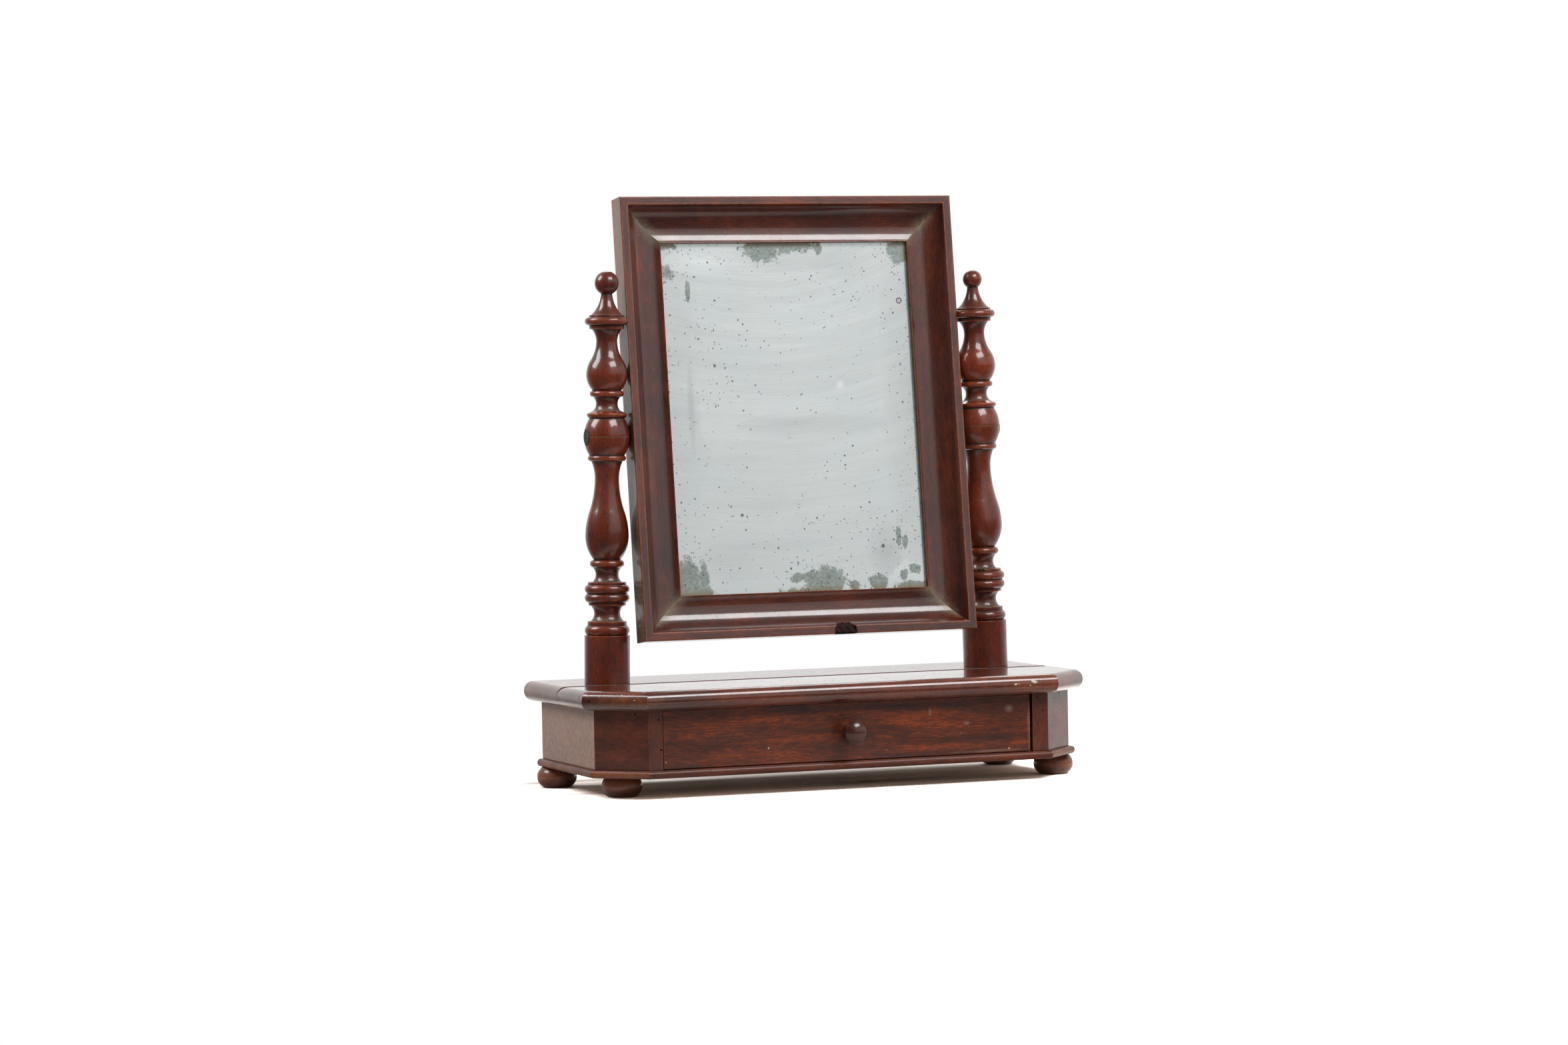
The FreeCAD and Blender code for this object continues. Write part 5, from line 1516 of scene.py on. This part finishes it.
# A pale table of limed boards; it burns out to white where the light falls on it and keeps its
# grain in the object's shadow. Under the box and just behind it, where the light from behind doesn't
# reach in, the table's colour is darkened as painted shade: shelter gives an axis, where shelter
# starts and where it is full. Grain is lines per metre.
table = {
    "size": 14.0,
    "board": "#b3ada9",
    "line": "#6d635d",
    "grain": (3, 26, 26),
    "burn": 7.0,
    "bounce": 1.5,
    "fade": (0.36, 0.56),
    "shelter": [(0, -0.30, -0.24), (0, 0.285, 0.235), (1, 0.055, 0.105), (1, 0.22, 0.15)],
    "paintedShadeDepth": 0.6,
}
# What polish mirrors brightens towards the back, a little round to the right: the way, and how
# far towards it the brightening starts and ends. In front stands a pale card, low to high and
# from the left, that the mirror faces. The fill is for matt surfaces alone.
studio = {
    "behind": (0.6, 1.0, 0.0),
    "from": (0.05, 1.0),
    "cardLow": (0.03, 0.12),
    "cardHigh": (0.6, 0.35),
    "cardSide": (-0.25, 0.1, 0, 0.9),
    "fill": 0.30,
}


def seenRays(put):
    # camera rays with those through glass, and glossy rays
    rays = put("LightPath")
    direct = put("Math", rays.outputs["Is Camera Ray"], rays.outputs["Is Transmission Ray"],
                 operation="MAXIMUM")
    return direct, rays.outputs["Is Glossy Ray"]


def tableTop():
    half = table["size"] / 2
    mesh = bpy.data.meshes.new("table_top")
    mesh.from_pydata([(-half, -half, 0), (half, -half, 0), (half, half, 0), (-half, half, 0)], [],
                     [(0, 1, 2, 3)])
    putIn("table_top", mesh)
    finish = bpy.data.materials.new("limed_table")
    mesh.materials.append(finish)
    put = emptied(finish)
    place = put("TexCoord").outputs["Object"]
    fibre = put("TexNoise", put("Mapping", place, Scale=table["grain"]), Scale=1, Detail=5,
                Roughness=0.65, Distortion=0.4)
    colour = put("Mix", put("MapRange", fibre, 0.35, 0.7), table["board"], table["line"],
                 data_type="RGBA")
    direct, glossy = seenRays(put)
    outward = put("VectorMath", place, operation="NORMALIZE")
    outward = put("VectorMath", outward, studio["behind"], operation="DOT_PRODUCT")
    rear = put("MapRange", outward, *studio["from"], 0.10, 1)
    mirrored = put("Math", glossy, rear, operation="MULTIPLY")
    seen = put("Math", direct, mirrored, operation="MAXIMUM")
    burn = put("Math", seen, table["burn"] - table["bounce"], table["bounce"],
               operation="MULTIPLY_ADD")
    # painted shade: the table's colour is darkened under and just behind the box
    axes = put("SeparateXYZ", place)
    reaches = [put("MapRange", axes.outputs[axis], outside, inside,
                   interpolation_type="SMOOTHSTEP") for axis, outside, inside in table["shelter"]]
    shelter = reaches[0]
    for reach in reaches[1:]:
        shelter = put("Math", shelter, reach, operation="MULTIPLY")
    paintedShadeFactor = put("Math", shelter, -table["paintedShadeDepth"], 1, operation="MULTIPLY_ADD")
    burn = put("Math", burn, paintedShadeFactor, operation="MULTIPLY")
    diffuse = put("BsdfDiffuse", put("VectorMath", colour, burn, operation="SCALE"))
    # further off it is plain white, as the background is
    away = put("VectorMath", place, operation="LENGTH")
    far = put("MapRange", away, *table["fade"], interpolation_type="SMOOTHSTEP")
    shown = put("Math", direct, glossy, operation="MAXIMUM")
    white = put("Math", far, shown, operation="MULTIPLY")
    put("OutputMaterial", put("MixShader", white, diffuse, put("Emission", "#ffffff", seen)))


def studioLight():
    # a white studio behind, dim in front but for the card
    scene.world = bpy.data.worlds.new("studio")
    put = emptied(scene.world)
    way = put("TexCoord").outputs["Generated"]
    turn = put("VectorMath", way, studio["behind"], operation="DOT_PRODUCT")
    axes = put("SeparateXYZ", way)
    behind, low, high, side = [
        put("MapRange", value, *span, interpolation_type="SMOOTHSTEP")
        for value, span in ((turn, (*studio["from"], 0.06)), (axes.outputs[2], studio["cardLow"]),
                            (axes.outputs[2], studio["cardHigh"]),
                            (axes.outputs[0], studio["cardSide"]))]
    card = put("Math", low, high, operation="MULTIPLY")
    card = put("Math", card, side, operation="MULTIPLY")
    mirrored = put("Math", behind, card, operation="MAXIMUM")
    direct, glossy = seenRays(put)
    mirrored = put("Math", glossy, mirrored, operation="MULTIPLY")
    matt = put("Math", glossy, -studio["fill"], studio["fill"], operation="MULTIPLY_ADD")
    light = put("Math", mirrored, matt, operation="ADD")
    strength = put("Math", light, direct, operation="MAXIMUM")
    put("OutputWorld", put("Background", "#ffffff", strength))


# Three softboxes: one high in front and to the right, one at the left and a little behind, and
# one behind that draws the bright line along the top's shoulder.
softboxes = {
    "front": {"at": (0.7, -1.7, 2.3), "size": (1.7, 1.0), "watts": 66},
    "left": {"at": (-1.95, 0.55, 1.95), "size": (1.2, 1.3), "watts": 54},
    "rear": {"at": (0.75, 1.75, 1.75), "size": (1.3, 0.5), "watts": 9},
}
lampTarget = Vector((0, 0, 0.3))
for name, box in softboxes.items():
    lamp = bpy.data.lights.new("softbox_" + name, "AREA")
    lamp.shape = "RECTANGLE"
    lamp.size, lamp.size_y = box["size"]
    lamp.energy = box["watts"]
    holder = putIn("softbox_" + name, lamp)
    holder.location = box["at"]
    aim = lampTarget - holder.location
    holder.rotation_euler = aim.to_track_quat("-Z", "Y").to_euler()

tableTop()
studioLight()

# The camera: turned left of the front and a little above, from five metres away. Its focal
# length is in widths of the sensor, and the sensor in millimetres.
view = {
    "yaw": math.radians(-21.369482),
    "pitch": math.radians(1.911743),
    "roll": math.radians(-1.065644),
    "at": (-1.771837, -4.448289, 0.430006),
    "focal": 6945.963 / 2352,
    "sensor": 36,
}


def placeCamera():
    # back points from the object to the camera; across and upright are its right and its up
    c, s = math.cos(view["yaw"]), math.sin(view["yaw"])
    flat, rise = math.cos(view["pitch"]), math.sin(view["pitch"])
    back, right = Vector((s * flat, -c * flat, rise)), Vector((c, s, 0))
    up = back.cross(right)
    c, s = math.cos(view["roll"]), math.sin(view["roll"])
    across, upright = right * c + up * s, up * c - right * s
    lens = bpy.data.cameras.new("camera")
    lens.lens = view["focal"] * view["sensor"]
    lens.sensor_width = view["sensor"]
    lens.clip_end = 100
    scene.camera = putIn("camera", lens)
    turn = Matrix((across, upright, back)).transposed()
    scene.camera.matrix_world = Matrix.Translation(view["at"]) @ turn.to_4x4()


placeCamera()
scene.view_settings.view_transform = "Standard"
print("light, table and camera set")
